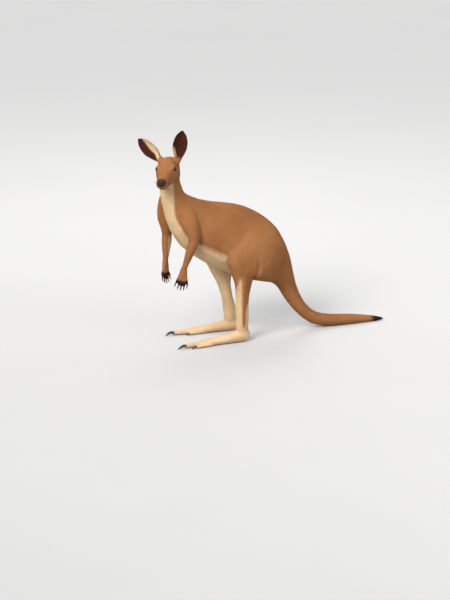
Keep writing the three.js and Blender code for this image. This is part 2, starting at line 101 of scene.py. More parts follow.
# %% Camera
def placed(name, data):
    """A new object with that mesh, lamp or camera, linked into the scene."""
    made = bpy.data.objects.new(name, data)
    bpy.context.scene.collection.objects.link(made)
    return made


def turned(azimuth, elevation):
    """The way from the object to a camera at that azimuth and elevation."""
    a, e = math.radians(azimuth), math.radians(elevation)
    return Vector((math.sin(a) * math.cos(e), -math.cos(a) * math.cos(e), math.sin(e)))


VIEW_AZIMUTH, VIEW_ELEVATION = -22, 15
LENS_MM, SENSOR_MM = 200, 36
VIEW_DISTANCE, VIEW_ENDS = 16.667, 200  # metres
back = turned(VIEW_AZIMUTH, VIEW_ELEVATION)
right = Vector((0, 0, 1)).cross(back).normalized()
up = back.cross(right)
HIND_LEGS_X = -0.1781
AIM_RIGHT, AIM_UP = -0.050, 0.180  # where the camera aims, from the hind legs on the floor
aim = Vector((HIND_LEGS_X + MOVED, 0, 0)) + right * AIM_RIGHT + up * AIM_UP

camera = placed("camera", bpy.data.cameras.new("camera"))
camera.data.lens = LENS_MM
camera.data.sensor_width = SENSOR_MM
camera.data.clip_end = VIEW_ENDS
camera.location = aim + back * VIEW_DISTANCE
camera.rotation_euler = back.to_track_quat("Z", "Y").to_euler()
bpy.context.scene.camera = camera
print("camera at", [round(v, 2) for v in camera.location])


# %% [markdown]
# ## Paint made of nodes
#
# Every surface is painted by a small tree of nodes, never by a picture, so
# that it is sharp at any distance. A few short helpers make the nodes that
# come back again and again: a stored measure, noise, a blend of two
# colours, a change of range and a bump.

# %% Materials, stored measures and noise
def new_material(name):
    """An empty node material and its Principled shader, joined to the output."""
    made = bpy.data.materials.new(name)
    made.use_nodes = True
    tree = made.node_tree
    tree.nodes.clear()
    shader = tree.nodes.new("ShaderNodeBsdfPrincipled")
    output = tree.nodes.new("ShaderNodeOutputMaterial")
    tree.links.new(shader.outputs[0], output.inputs[0])
    return made, tree, shader


def attribute(tree, name, output="Fac"):
    """A measure stored on the mesh's points; with "Vector", a place stored there."""
    made = tree.nodes.new("ShaderNodeAttribute")
    made.attribute_name = name
    return made.outputs[output]


def noise(tree, scale, detail, where=None):
    """Noise from 0 to 1, in the object's own metres or where a socket says."""
    if where is None:
        where = tree.nodes.new("ShaderNodeTexCoord").outputs["Object"]
    made = tree.nodes.new("ShaderNodeTexNoise")
    made.inputs["Scale"].default_value = scale
    made.inputs["Detail"].default_value = detail
    tree.links.new(where, made.inputs["Vector"])
    return made.outputs["Fac"]


# %% Blends, ranges and bumps
def blended(tree, share, a, b):
    """Colour a turning to colour b by share. Each is a colour or a socket."""
    made = tree.nodes.new("ShaderNodeMix")
    made.data_type = "RGBA"
    for socket, value in ((0, share), (6, a), (7, b)):
        if hasattr(value, "links"):
            tree.links.new(value, made.inputs[socket])
        elif socket:
            made.inputs[socket].default_value = (*value, 1)
        else:
            made.inputs[socket].default_value = value
    return made.outputs[2]


def spread(tree, value, low, high, to_low=0.0, to_high=1.0):
    """value taken from low..high to to_low..to_high, and held there outside."""
    made = tree.nodes.new("ShaderNodeMapRange")
    for k, v in enumerate((low, high, to_low, to_high), start=1):
        made.inputs[k].default_value = v
    tree.links.new(value, made.inputs[0])
    return made.outputs[0]


def bumped(tree, shader, height, depth):
    """Joins height to the shader's normal as a bump that deep, in metres."""
    made = tree.nodes.new("ShaderNodeBump")
    made.inputs["Distance"].default_value = depth
    tree.links.new(height, made.inputs["Height"])
    tree.links.new(made.outputs[0], shader.inputs["Normal"])


# %% Floor and sky
FLOOR_SIDE = 240
FLOOR_COLOUR, FLOOR_WARM = (0.50, 0.492, 0.478), (0.525, 0.517, 0.50)
FLOOR_CLOUDS, FLOOR_GRAIN = 1.5, 60
FLOOR_ROUGHNESS, FLOOR_BUMP = 0.85, 0.0004
SKY_COLOUR, SKY_STRENGTH = (0.93, 0.95, 1.0), 0.76

floor_mesh = bpy.data.meshes.new("floor")
half = FLOOR_SIDE / 2
floor_mesh.from_pydata(
    [(-half, -half, 0), (half, -half, 0), (half, half, 0), (-half, half, 0)], [], [(0, 1, 2, 3)]
)
floor = placed("floor", floor_mesh)
floor_paint, tree, shader = new_material("floor_paint")
shade = blended(tree, noise(tree, FLOOR_CLOUDS, 3), FLOOR_COLOUR, FLOOR_WARM)
tree.links.new(shade, shader.inputs["Base Color"])
shader.inputs["Roughness"].default_value = FLOOR_ROUGHNESS
bumped(tree, shader, noise(tree, FLOOR_GRAIN, 2), FLOOR_BUMP)
floor.data.materials.append(floor_paint)

world = bpy.data.worlds.new("studio")
world.use_nodes = True
world.node_tree.nodes["Background"].inputs[0].default_value = (*SKY_COLOUR, 1)
world.node_tree.nodes["Background"].inputs[1].default_value = SKY_STRENGTH
bpy.context.scene.world = world
bpy.context.scene.view_settings.view_transform = "Standard"
print("floor:", FLOOR_SIDE, "metres wide")

# %% Lights
BODY_MIDDLE = Vector((-0.15, 0, 0.5))
KEY_AZIMUTH, KEY_ELEVATION, KEY_STRENGTH, KEY_BREADTH = -50, 36, 3.6, math.radians(28)
PANELS = {  # azimuth, elevation, distance, side of the panel, watts
    "fill_light": (35, 25, 5.0, 3.5, 60),
    "rim_light": (165, 48, 4.5, 2.5, 70),
}


def add_light(name, kind, way, distance):
    """A lamp of that kind in the given direction, aimed at the body."""
    lamp = placed(name, bpy.data.lights.new(name, kind))
    lamp.location = BODY_MIDDLE + way * distance
    lamp.rotation_euler = way.to_track_quat("Z", "Y").to_euler()
    return lamp.data


key = add_light("key_light", "SUN", turned(KEY_AZIMUTH, KEY_ELEVATION), 5)
key.energy, key.angle = KEY_STRENGTH, KEY_BREADTH
for name, (azimuth, elevation, distance, side, watts) in PANELS.items():
    panel = add_light(name, "AREA", turned(azimuth, elevation), distance)
    panel.size, panel.energy = side, watts
print("lights: key,", ", ".join(PANELS))

# %% [markdown]
# ## The lines inside the body
#
# A maker builds a mount round an armature. The same lines are used here:
# the back line and the belly line of the trunk and tail, the neck, and the
# middle line of each limb. They say which way the hair lies, where a
# marking begins and how each part is unwrapped. The trunk lines repeat the
# CAD's own spine in metres. The limbs' lines come from where two CAD nodes
# meet.

# %% Spine and neck lines
SPINE = [  # back x, back z, belly x, belly z, half width
    (-0.4501, 0.764, -0.5621, 0.692, 0.063),
    (-0.3831, 0.728, -0.5341, 0.594, 0.095),
    (-0.2921, 0.704, -0.4701, 0.488, 0.116),
    (-0.2031, 0.690, -0.3601, 0.404, 0.128),
    (-0.1061, 0.661, -0.2531, 0.344, 0.132),
    (-0.0161, 0.607, -0.1581, 0.303, 0.123),
    (0.0599, 0.521, -0.0681, 0.272, 0.106),
    (0.1099, 0.404, 0.0159, 0.256, 0.082),
    (0.1339, 0.308, 0.0539, 0.222, 0.059),
    (0.1559, 0.226, 0.0899, 0.164, 0.049),
    (0.1979, 0.142, 0.1439, 0.096, 0.042),
    (0.2599, 0.086, 0.2299, 0.024, 0.038),
    (0.3419, 0.064, 0.3339, 0.000, 0.035),
    (0.4419, 0.054, 0.4399, 0.000, 0.031),
    (0.5279, 0.041, 0.5259, 0.000, 0.024),
    (0.5919, 0.028, 0.5909, 0.000, 0.016),
    (0.6279, 0.017, 0.6279, 0.003, 0.008),
]
NECK = [
    (-0.4811, 0.904, -0.5681, 0.880, 0.046),
    (-0.4751, 0.862, -0.5761, 0.828, 0.052),
    (-0.4681, 0.812, -0.5761, 0.764, 0.057),
    (-0.4501, 0.766, -0.5661, 0.706, 0.064),
    (-0.4041, 0.732, -0.5341, 0.640, 0.074),
]


# %% Reading a place off the lines
ROWS_EACH = 12  # fine rows from each row of a table to the next
BATCH = 20000  # points looked up at a time
BEYOND = 0.7  # what a metre above or below a section counts against a metre off it


def finer(table, steps=ROWS_EACH):
    """The rows of a table with smooth rows between them, by Catmull-Rom."""
    rows = np.array(table, float) + (MOVED, 0, MOVED, 0, 0)
    padded = np.vstack([2 * rows[0] - rows[1], rows, 2 * rows[-1] - rows[-2]])
    out = []
    for k in range(len(rows) - 1):
        a, b, c, d = padded[k : k + 4]
        for t in np.linspace(0, 1, steps, endpoint=False):
            out.append(
                0.5 * (2 * b + (c - a) * t + (2 * a - 5 * b + 4 * c - d) * t**2
                       + (3 * b - a - 3 * c + d) * t**3)
            )
    out.append(rows[-1])
    return np.array(out)


def on_sections(points, table):
    """For each point: its row along a fine table, its share of the way from
    the belly line to the back line, and that row's tangent, as arrays."""
    rows = finer(table)
    backs, bellies = rows[:, 0:2], rows[:, 2:4]
    across = backs - bellies
    depth = np.linalg.norm(across, axis=1)
    across = across / depth[:, None]
    middles = (backs + bellies) / 2
    along = np.gradient(middles, axis=0)
    along /= np.linalg.norm(along, axis=1)[:, None]
    row = np.zeros(len(points), int)
    share = np.zeros(len(points))
    for start in range(0, len(points), BATCH):
        batch = slice(start, start + BATCH)
        xz = points[batch][:, [0, 2]]
        gap = xz[:, None, :] - middles[None]
        off_line = np.abs((gap * along[None]).sum(2))
        over = np.maximum(0, np.abs((gap * across[None]).sum(2)) - depth[None] / 2)
        best = np.argmin(off_line + BEYOND * over, axis=1)
        row[batch] = best
        rise = ((xz - bellies[best]) * across[best]).sum(1)
        share[batch] = rise / depth[best]
    tangent = np.stack([along[row, 0], np.zeros(len(row)), along[row, 1]], 1)
    down = np.stack([-across[row, 0], np.zeros(len(row)), -across[row, 1]], 1)
    return row / (len(rows) - 1), share, tangent, down


print("rows along the spine:", len(finer(SPINE)))


# %% Angles round a limb, and middle lines
def round_line(co, line, front=(-1, 0, 0)):
    """For a limb: the share of the way down its line, and the angle round it
    in degrees from the front, positive towards +Y."""
    axis = (line[-1] - line[0]) / np.linalg.norm(line[-1] - line[0])
    ahead = np.array(front, float) - axis * np.dot(front, axis)
    ahead /= np.linalg.norm(ahead)
    across = np.cross(axis, ahead)
    across *= np.sign(across[1]) or 1
    gap = co - line[0]
    share = gap @ axis / np.linalg.norm(line[-1] - line[0])
    return share, np.degrees(np.arctan2(gap @ across, gap @ ahead))


def middle_line(table):
    """The points half way between the two lines of a table."""
    rows = finer(table, 4)
    return np.stack(
        [(rows[:, 0] + rows[:, 2]) / 2, np.zeros(len(rows)), (rows[:, 1] + rows[:, 3]) / 2], 1
    )


print("spine line:", len(middle_line(SPINE)), "points")


# %% Where two nodes meet, and where one ends
TOUCHING, END_DEPTH = 0.003, 0.010


def points_of(mesh):
    """A mesh's points as an array."""
    co = np.empty(len(mesh.vertices) * 3)
    mesh.vertices.foreach_get("co", co)
    return co.reshape(-1, 3)


def meeting(a, b):
    """The middle of the place where CAD node a meets CAD node b."""
    near = BVHTree.FromPolygons(
        [tuple(v.co) for v in nodes[b].data.vertices],
        [tuple(p.vertices) for p in nodes[b].data.polygons],
    )
    touching = [p for p in points_of(nodes[a].data) if near.find_nearest(p, TOUCHING)[0]]
    return np.mean(touching, axis=0)


def end_of(node, axis, way):
    """The middle of a CAD node's points nearest to its end that way."""
    co = points_of(nodes[node].data)
    limit = (co[:, axis] * way).max() - END_DEPTH
    return co[co[:, axis] * way > limit].mean(0)


print("neck meets head at", np.round(meeting("neck", "head"), 3))


# %% Limb lines
SIDES = {"left": -1, "right": 1}
SHOULDER_DROP = 0.02  # the shoulder's joint lies that far under the upper arm's top

lines = {"neck": middle_line(NECK), "trunk": middle_line(SPINE)}
for side in SIDES:
    elbow = meeting(f"forearm_{side}", f"upper_arm_{side}")
    wrist = meeting(f"forearm_{side}", f"hand_{side}")
    shoulder = end_of(f"upper_arm_{side}", 2, 1) - (0, 0, SHOULDER_DROP)
    knee = meeting(f"shank_{side}", f"thigh_{side}")
    ankle = meeting(f"shank_{side}", f"foot_{side}")
    hip = end_of(f"thigh_{side}", 2, 1)
    lines[f"upper_arm_{side}"] = np.array([shoulder, elbow])
    lines[f"forearm_{side}"] = np.array([elbow, wrist])
    lines[f"hand_{side}"] = np.array([wrist, end_of(f"hand_{side}", 2, -1)])
    lines[f"thigh_{side}"] = np.array([hip, knee])
    lines[f"shank_{side}"] = np.array([knee, ankle])
    heel = end_of(f"foot_{side}", 0, 1)
    toes = end_of(f"foot_{side}", 0, -1)
    lines[f"foot_{side}"] = np.array([heel, toes])
for name, line in lines.items():
    if len(line) == 2:
        print(name, np.round(line, 3).tolist())

# %% [markdown]
# ## One skin from the CAD's pieces
#
# On the real animal a single skin covers everything but the eyes and the
# claws. The CAD has it in 23 flesh nodes with hair-thin gaps. It could be
# drawn again from nothing, but copying the nodes keeps every size. The
# copies are swollen by half a millimetre so that the gaps close, joined,
# and remeshed as one surface in small even squares, which is what a
# sculptor's clay would be.

# %% Join the flesh nodes
def is_flesh(name):
    """Whether a CAD node is covered by the skin."""
    return not name.startswith("eye") and "claw" not in name


FLESH = sorted(n for n in nodes if is_flesh(n))
EYES = ["eye_left", "eye_right"]  # in the clay too, so that the lids can be cut over them
CLAY = FLESH + EYES
SWELL, EAR_SWELL = 0.0006, 0.0011
WELD, CLAY_CELL = 0.00002, 0.0024


def welded(name):
    """A copy of a CAD node's mesh in bmesh, with its split corners joined."""
    bm = bmesh.new()
    bm.from_mesh(nodes[name].data)
    bmesh.ops.remove_doubles(bm, verts=bm.verts, dist=WELD)
    bmesh.ops.recalc_face_normals(bm, faces=bm.faces)
    bm.normal_update()
    return bm


points, faces, owner = [], [], []
for k, name in enumerate(CLAY):
    bm = welded(name)
    start = len(points)
    swell = EAR_SWELL if name.startswith("ear") else SWELL
    points += [v.co + v.normal * swell for v in bm.verts]
    faces += [tuple(start + v.index for v in f.verts) for f in bm.faces]
    owner += [k] * len(bm.faces)
    bm.free()
flesh_tree = BVHTree.FromPolygons(points, faces)
clay_mesh = bpy.data.meshes.new("clay")
clay_mesh.from_pydata(points, [], faces)
clay = placed("clay", clay_mesh)
remesh = clay.modifiers.new("remesh", "REMESH")
remesh.mode = "VOXEL"
remesh.voxel_size = CLAY_CELL
depsgraph = bpy.context.evaluated_depsgraph_get()
skin_mesh = bpy.data.meshes.new_from_object(clay.evaluated_get(depsgraph))
bpy.data.objects.remove(clay)
print("clay:", len(skin_mesh.vertices), "points")


# %% Tell the regions apart
def node_of(places):
    """For each place, the number in FLESH of the nearest CAD node."""
    found = np.array([owner[flesh_tree.find_nearest(p)[2]] for p in places])
    return np.where(found < len(FLESH), found, FLESH.index("head"))


region = node_of(points_of(skin_mesh))
print({FLESH[k]: int(n) for k, n in enumerate(np.bincount(region)) if n})

# %% [markdown]
# ## Smoothing, then setting the skin in by the depth of the coat
#
# Relaxing moves each point towards the middle of its neighbours. The trunk
# takes many rounds, which melts the joins of thigh and shoulder into the
# body as muscle under skin does. Skin also bridges a crease, so at shoulder
# and hip points may rise towards their neighbours but not sink. Fingers,
# toes and ears take few rounds, so that they stay crisp. Then every point
# moves inwards by the depth of the coat that will lie there, so that the
# tips of the hair end where the CAD does.

# %% Relaxing over the mesh
RATE = 0.5  # how far a round moves a point towards the mean of its neighbours


class Web:
    """The edges of a mesh, for relaxing places or measures along them."""

    def __init__(self, a, b, count):
        self.a, self.b, self.count = a, b, count
        self.degree = np.maximum(1, np.bincount(np.concatenate([a, b]), minlength=count))

    def part(self, chosen):
        """The web round the chosen points only, and the numbers of its points."""
        kept = chosen[self.a] | chosen[self.b]
        used, numbers = np.unique([self.a[kept], self.b[kept]], return_inverse=True)
        a, b = numbers.reshape(2, -1)
        return Web(a, b, len(used)), used

    def around(self, values):
        """The mean of each point's neighbours."""
        out = np.empty_like(values)
        for k in range(values.shape[1]):
            column = values[:, k]
            out[:, k] = np.bincount(self.a, column[self.b], self.count)
            out[:, k] += np.bincount(self.b, column[self.a], self.count)
        return out / self.degree[:, None]

    def relax(self, values, rounds, rate=RATE):
        """values, after so many rounds; rate may differ from point to point."""
        flat = values.ndim == 1
        values = values.astype(float).reshape(self.count, -1)
        rate = np.broadcast_to(np.asarray(rate, float).reshape(-1, 1), (self.count, 1))
        for _ in range(rounds):
            values += rate * (self.around(values) - values)
        return values[:, 0] if flat else values


def web_of(mesh):
    """The web of all the edges of a mesh."""
    ends = np.empty(len(mesh.edges) * 2, np.int32)
    mesh.edges.foreach_get("vertices", ends)
    return Web(*ends.reshape(-1, 2).T, len(mesh.vertices))


# %% What each region asks for
# rounds of relaxing, coat depth, hair length, tuft width, tufts per square metre
REGIONS = {
    "trunk": (60, 0.0050, 0.0175, 0.00175, 242000),
    "thigh": (100, 0.0046, 0.0160, 0.00170, 244000),
    "neck": (36, 0.0046, 0.0145, 0.0016, 280000),
    "tail_root": (30, 0.0044, 0.0155, 0.0015, 265000),
    "tail_middle": (22, 0.0038, 0.0135, 0.0014, 285000),
    "tail_end": (14, 0.0030, 0.0125, 0.0013, 325000),
    "tail_tip": (8, 0.0026, 0.0150, 0.0011, 480000),
    "upper_arm": (40, 0.0038, 0.0130, 0.0014, 300000),
    "forearm": (12, 0.0026, 0.0095, 0.0011, 420000),
    "hand": (4, 0.0012, 0.0050, 0.0008, 600000),
    "shank": (14, 0.0026, 0.0105, 0.0013, 325000),
    "foot": (12, 0.0018, 0.0075, 0.0011, 405000),
    "head": (14, 0.0026, 0.0078, 0.00095, 690000),
    "ear": (8, 0.0012, 0.0055, 0.0009, 520000),
}


def asks(name):
    """The row of REGIONS for a CAD node, by the longest key that it starts with."""
    key = max((k for k in REGIONS if name.startswith(k)), key=len)
    return REGIONS[key]


rounds_of = np.array([asks(n)[0] for n in FLESH])
depth_of = np.array([asks(n)[1] for n in FLESH])

print("depth of the coat:", depth_of.min(), "to", depth_of.max())


# %% Points, normals and soft steps
def set_points(mesh, co):
    """Moves a mesh's points to those places."""
    mesh.vertices.foreach_set("co", np.asarray(co, np.float32).ravel())
    mesh.update()


def normals_of(mesh):
    """Each point's outward normal."""
    out = np.empty(len(mesh.vertices) * 3, np.float32)
    mesh.vertex_normals.foreach_get("vector", out)
    return out.reshape(-1, 3).astype(float)


def step(value, low, high):
    """A smooth step from 0 at low to 1 at high."""
    t = np.clip((value - low) / (high - low), 0, 1)
    return t * t * (3 - 2 * t)


def near(co, centre, reach):
    """1 at the centre, falling smoothly to 0 at that reach."""
    gap = np.linalg.norm((co - centre) / reach, axis=1)
    return np.clip(1 - gap**2, 0, 1) ** 2


# %% Relax the clay
MELTED = {  # end of the limb, rounds and reach in metres, where one mass flows into the next
    "thigh": (0, 420, 0.150),
    "upper_arm": (0, 300, 0.130),
    "forearm": (0, 60, 0.065),
    "shank": (1, 130, 0.080),
    "hand": (0, 40, 0.035),
    "foot": (0, 40, 0.045),
}
web = web_of(skin_mesh)
places = points_of(skin_mesh)
wanted = web.relax(rounds_of[region], 10)
for turn in range(int(wanted.max())):
    places = web.relax(places, 1, np.clip(wanted - turn, 0, 1) * RATE)


def melt(middle, rounds, reach):
    """Relaxes the points round a middle."""
    share = near(places, middle, reach)
    small, used = web.part(share > 0)
    places[used] = small.relax(places[used], rounds, share[used] * RATE)


RUMP = np.array([-0.042, 0.027, -0.042])  # from the rear top inner corner of the thigh's box
RUMP_ROUNDS, RUMP_REACH = 320, 0.085
for side, sign in SIDES.items():
    for part, (end, rounds, reach) in MELTED.items():
        melt(lines[f"{part}_{side}"][end], rounds, reach)
    low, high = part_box(f"thigh_{side}")
    corner = np.array([high.x, sign * min(abs(low.y), abs(high.y)), high.z])
    melt(corner + RUMP * (1, sign, 1), RUMP_ROUNDS, RUMP_REACH)
print("joins melted:", list(MELTED))

# %% Fill the creases at the shoulder and the hip
CREASES = [(lines[f"upper_arm_{side}"][0], 600, 0.125) for side in SIDES]
CREASES += [(lines[f"thigh_{side}"][0], 90, 0.290) for side in SIDES]
CREASES += [(meeting("neck", "head"), 160, 0.100)]  # middle, rounds, reach
REFRESH = 20  # rounds between new normals


def fill(middle, rounds, reach):
    """Lets the points round a middle rise towards their neighbours, not sink."""
    share = near(places, middle, reach)
    small, used = web.part(share > 0)
    share = np.sqrt(share[used]) * RATE
    for _ in range(rounds // REFRESH):
        set_points(skin_mesh, places)
        outward = web.relax(normals_of(skin_mesh), 2)[used]
        moved = places[used]
        for _ in range(REFRESH):
            rise = ((small.around(moved) - moved) * outward).sum(1)
            moved = moved + outward * (np.maximum(rise, 0) * share)[:, None]
        places[used] = moved


for crease in CREASES:
    fill(*crease)
set_points(skin_mesh, places)
print("creases filled:", len(CREASES))

# %% Set the skin in by the depth of the coat
DEPTH_ROUNDS, NORMAL_ROUNDS = 25, 6

depth = web.relax(depth_of[region], DEPTH_ROUNDS)
places -= web.relax(normals_of(skin_mesh), NORMAL_ROUNDS) * depth[:, None]
set_points(skin_mesh, places)
print("skin set in by", round(depth.min() * 1000, 1), "to", round(depth.max() * 1000, 1), "mm")


# %% [markdown]
# ## The folds of loose skin
#
# Skin is loose where a limb leaves the body, and it folds behind the upper
# arm and behind the thigh. A fold could be cut with another solid, but that
# leaves a hard edge. Pushing the points in along a line, deepest on the
# line and fading out to each side and towards its upper end, keeps it soft.

# %% Folds behind the upper arm and behind the thigh
FOLDS = {  # joint: depth, reach and points back and up from the joint, in metres
    "forearm": (
        0.0048, 0.013,
        ((0.010, 0.165), (0.019, 0.120), (0.033, 0.065), (0.040, 0.015), (0.034, -0.025)),
    ),
    "shank": (
        0.0075, 0.019,
        ((0.060, 0.108), (0.072, 0.068), (0.078, 0.036), (0.073, 0.012), (0.055, -0.018)),
    ),
}


def fold(co, line, reach):
    """How deep a fold is at each point, seen from the side: 1 on its line,
    0 beyond its reach, and running out at its upper end."""
    flat = co[:, [0, 2]]
    length = len(line) - 1
    deep = np.zeros(len(co))
    for k in range(length):
        a, b = line[k], line[k + 1]
        t = np.clip(((flat - a) @ (b - a)) / ((b - a) @ (b - a)), 0, 1)
        gap = np.linalg.norm(flat - a - t[:, None] * (b - a), axis=1)
        here = np.clip(1 - (gap / reach) ** 2, 0, 1) ** 2
        deep = np.maximum(deep, here * step((k + t) / length, 0.0, 0.5))
    return deep


out_normal = web.relax(normals_of(skin_mesh), NORMAL_ROUNDS)
for side, sign in SIDES.items():
    outer = step(out_normal[:, 1] * sign, 0.1, 0.4)
    for part, (depth_cut, reach, offsets) in FOLDS.items():
        joint = lines[f"{part}_{side}"][0]
        deep = fold(places, np.array(offsets) + joint[[0, 2]], reach) * outer
        places = places - out_normal * (depth_cut * deep)[:, None]
set_points(skin_mesh, places)
print("folds cut behind", list(FOLDS))

# %% [markdown]
# ## The face
#
# The head gets the most care. Its points are first split where detail is
# fine: round the eyes, the nose and the mouth. Lids are then drawn over
# each eyeball: the clay covers the whole ball, the opening is cut back to
# just under the ball's surface, and the rim stays a millimetre and a half
# proud of it, as a real lid does. The nose pad, nostrils and mouth are
# small moves along the skin's own normal.

# %% The head's own frame
HEAD_LENGTH = 0.244
HEAD_TURN, HEAD_NOD = math.radians(57), math.radians(9)
BETWEEN_EYES = np.array([0.165, 0, 0.088])  # forward, left and up, in head lengths
head_axes = np.array(
    Matrix.Rotation(math.pi + HEAD_TURN, 3, "Z") @ Matrix.Rotation(HEAD_NOD, 3, "Y")
)
eyes = {side: np.mean([np.array(c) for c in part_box(f"eye_{side}")], axis=0) for side in SIDES}
head_origin = (eyes["left"] + eyes["right"]) / 2 - head_axes @ (BETWEEN_EYES * HEAD_LENGTH)
IN_HEAD = {"left": 1, "right": -1}  # the sign of the head frame's second axis


def in_head(co):
    """Places in the head's frame, in head lengths: forward, left, up."""
    return (co - head_origin) @ head_axes / HEAD_LENGTH


def from_head(forward, left, up):
    """The place with those three numbers in the head's frame."""
    return head_origin + head_axes @ (np.array([forward, left, up]) * HEAD_LENGTH)


print("nose at", np.round(from_head(0.66, 0, 0), 3))
print("eyes at", {k: np.round(v, 3) for k, v in eyes.items()})


# %% Split the mesh where detail is fine
@contextmanager
def reworked(mesh):
    """The mesh in bmesh while it is worked on, then written back."""
    bm = bmesh.new()
    bm.from_mesh(mesh)
    yield bm
    bm.to_mesh(mesh)
    bm.free()
    mesh.update()


def split(mesh, chosen):
    """Splits in half every edge between two chosen points."""
    ends = np.empty(len(mesh.edges) * 2, np.int32)
    mesh.edges.foreach_get("vertices", ends)
    picked = np.flatnonzero(chosen[ends.reshape(-1, 2)].all(1))
    with reworked(mesh) as bm:
        bm.edges.ensure_lookup_table()
        edges = [bm.edges[k] for k in picked]
        bmesh.ops.subdivide_edges(bm, edges=edges, cuts=1, use_grid_fill=True)
        bmesh.ops.triangulate(bm, faces=[f for f in bm.faces if len(f.verts) > 4])


def within(co, nose_reach, eye_reach):
    """Whether each place is that close to the nose or to an eye."""
    found = np.linalg.norm(co - NOSE, axis=1) < nose_reach
    for eye in eyes.values():
        found |= np.linalg.norm(co - eye, axis=1) < eye_reach
    return found


NOSE = from_head(0.62, 0, -0.03)
FINE_REACHES = ((0.050, 0.034), (0.036, 0.024))  # from the nose and from each eye, in metres
for reaches in FINE_REACHES:
    split(skin_mesh, within(points_of(skin_mesh), *reaches))
    places = points_of(skin_mesh)
    places = web_of(skin_mesh).relax(places, 4, within(places, *reaches) * RATE)
    set_points(skin_mesh, places)
print("skin after splitting:", len(skin_mesh.vertices), "points")


# %% Lids over the eyeballs
def ridge(value, centre, width):
    """A smooth ridge, 1 at centre, with that half width."""
    return np.exp(-(((value - centre) / width) ** 2))


EYE_RADIUS, EYE_SUNK = 0.0128, 0.0014  # the ball sits back in the head as the skin does
EYE_NEAR = 0.024  # skin this close to an eye says which way it looks
LID = 0.0015
LID_CREASE, LID_ROLL = (0.0006, 1.38, 0.08), (0.0007, 1.62, 0.16)  # height, then where in openings
OPEN_EDGE, LID_ENDS, LID_REACH = (0.97, 1.04), (1.15, 1.75), 2.2  # in openings
SOCKET_DEPTH = 0.0012  # how far the skin passes under the ball's surface
OPENING = (0.0118, 0.0098, 0.0085)  # half its width, then its height above and below
CORNER_DROP = 0.16  # how much lower the opening is towards its corners
EYE_FIELD, FAR = 0.06, 9.0  # beyond that many metres from an eye, this many openings
LOOK_DOWN = 0.22
eye_axes = {}


def eye_opening(co, side):
    """How far each place is from the eye's middle, as a share of the opening
    (1 at the lids' edge), with its way and its distance from the eye."""
    outward, front, above = eye_axes[side]
    gap = co - eyes[side]
    distance = np.linalg.norm(gap, axis=1)
    way = gap / np.maximum(distance, 1e-9)[:, None]
    x, y = gap @ front, gap @ above
    width, top, bottom = OPENING
    height = np.where(y > 0, top, bottom) * (1 - CORNER_DROP * np.clip(x / width, 0, 1.2) ** 2)
    measure = np.hypot(x / width, y / height)
    seen = (way @ outward > 0) & (distance < EYE_FIELD)
    return np.where(seen, measure, FAR), way, distance


for side in SIDES:
    close = np.linalg.norm(places - eyes[side], axis=1) < EYE_NEAR
    outward = normals_of(skin_mesh)[close].mean(0)
    outward /= np.linalg.norm(outward)
    front = head_axes[:, 0] - LOOK_DOWN * head_axes[:, 2]
    front -= outward * (front @ outward)
    front /= np.linalg.norm(front)
    above = np.cross(outward, front) * IN_HEAD[side] * -1
    eye_axes[side] = (outward, front, above)
    eyes[side] = eyes[side] - outward * EYE_SUNK
    measure, way, distance = eye_opening(places, side)
    upper = step(((places - eyes[side]) @ above), -0.002, 0.004)
    rim = EYE_RADIUS + LID - LID_CREASE[0] * ridge(measure, *LID_CREASE[1:]) * (0.3 + upper)
    rim += LID_ROLL[0] * upper * ridge(measure, *LID_ROLL[1:])
    natural = np.maximum(distance, rim)
    outside = rim + (natural - rim) * step(measure, *LID_ENDS)
    edge = step(measure, *OPEN_EDGE)
    wanted = (EYE_RADIUS - SOCKET_DEPTH) * (1 - edge) + outside * edge
    wanted = np.where(measure < LID_REACH, wanted, distance)
    places = eyes[side] + way * wanted[:, None]
    print(side, "eye looks", np.round(outward, 2), "above", np.round(above, 2))

# %% Settle the skin round the eyes and the brow
BROW_END, BROW_REACH = (0.265, 0.135, 0.112), 0.030  # where the brow runs out before the eye
EYE_ROUNDS, BROW_ROUNDS = 14, 110

web = web_of(skin_mesh)
round_eyes, near_lids = np.zeros(len(places)), np.zeros(len(places))
for side in SIDES:
    measure, way, distance = eye_opening(places, side)
    near_lids = np.maximum(near_lids, step(-measure, -1.45, -1.2))
    beyond_lid = np.where(distance < 0.045, step(measure, 1.2, 1.6), 0)
    round_eyes = np.maximum(round_eyes, beyond_lid * step(-distance, -0.045, -0.030))
places = web.relax(places, EYE_ROUNDS, round_eyes * RATE)
forward, left, high = BROW_END
brow = sum(near(places, from_head(forward, sign * left, high), BROW_REACH)
           for sign in IN_HEAD.values())
off_lids = 1 - np.clip(near_lids, 0, 1)
places = web.relax(places, BROW_ROUNDS, np.sqrt(brow) * RATE * off_lids)
set_points(skin_mesh, places)
print("points settled round the eyes:", int((round_eyes > 0).sum()))


# %% The nose pad's and the mouth's outlines
PAD_HALF, PAD_HIGH, PAD_MIDDLE = 0.099, 0.084, -0.014  # in head lengths
LIP_HIGH, LIP_DIP, CORNER_RISE = -0.121, 0.020, 0.012


def nose_pad(local):
    """1 on the bare pad of the nose, falling to 0 at its edge."""
    forward, left, up = local.T
    wide = np.hypot(left / PAD_HALF, (up - PAD_MIDDLE) / PAD_HIGH)
    return (1 - step(wide, 0.90, 1.06)) * step(forward, 0.555, 0.60)


def lip_line(forward):
    """How high the mouth's line runs, from its corner to the front."""
    dip = LIP_DIP * np.sin(np.clip((0.60 - forward) / 0.33, 0, 1) * math.pi)
    return LIP_HIGH - dip + CORNER_RISE * step(forward, 0.38, 0.26)


print("points on the nose pad:", int((nose_pad(in_head(places)) > 0.5).sum()))

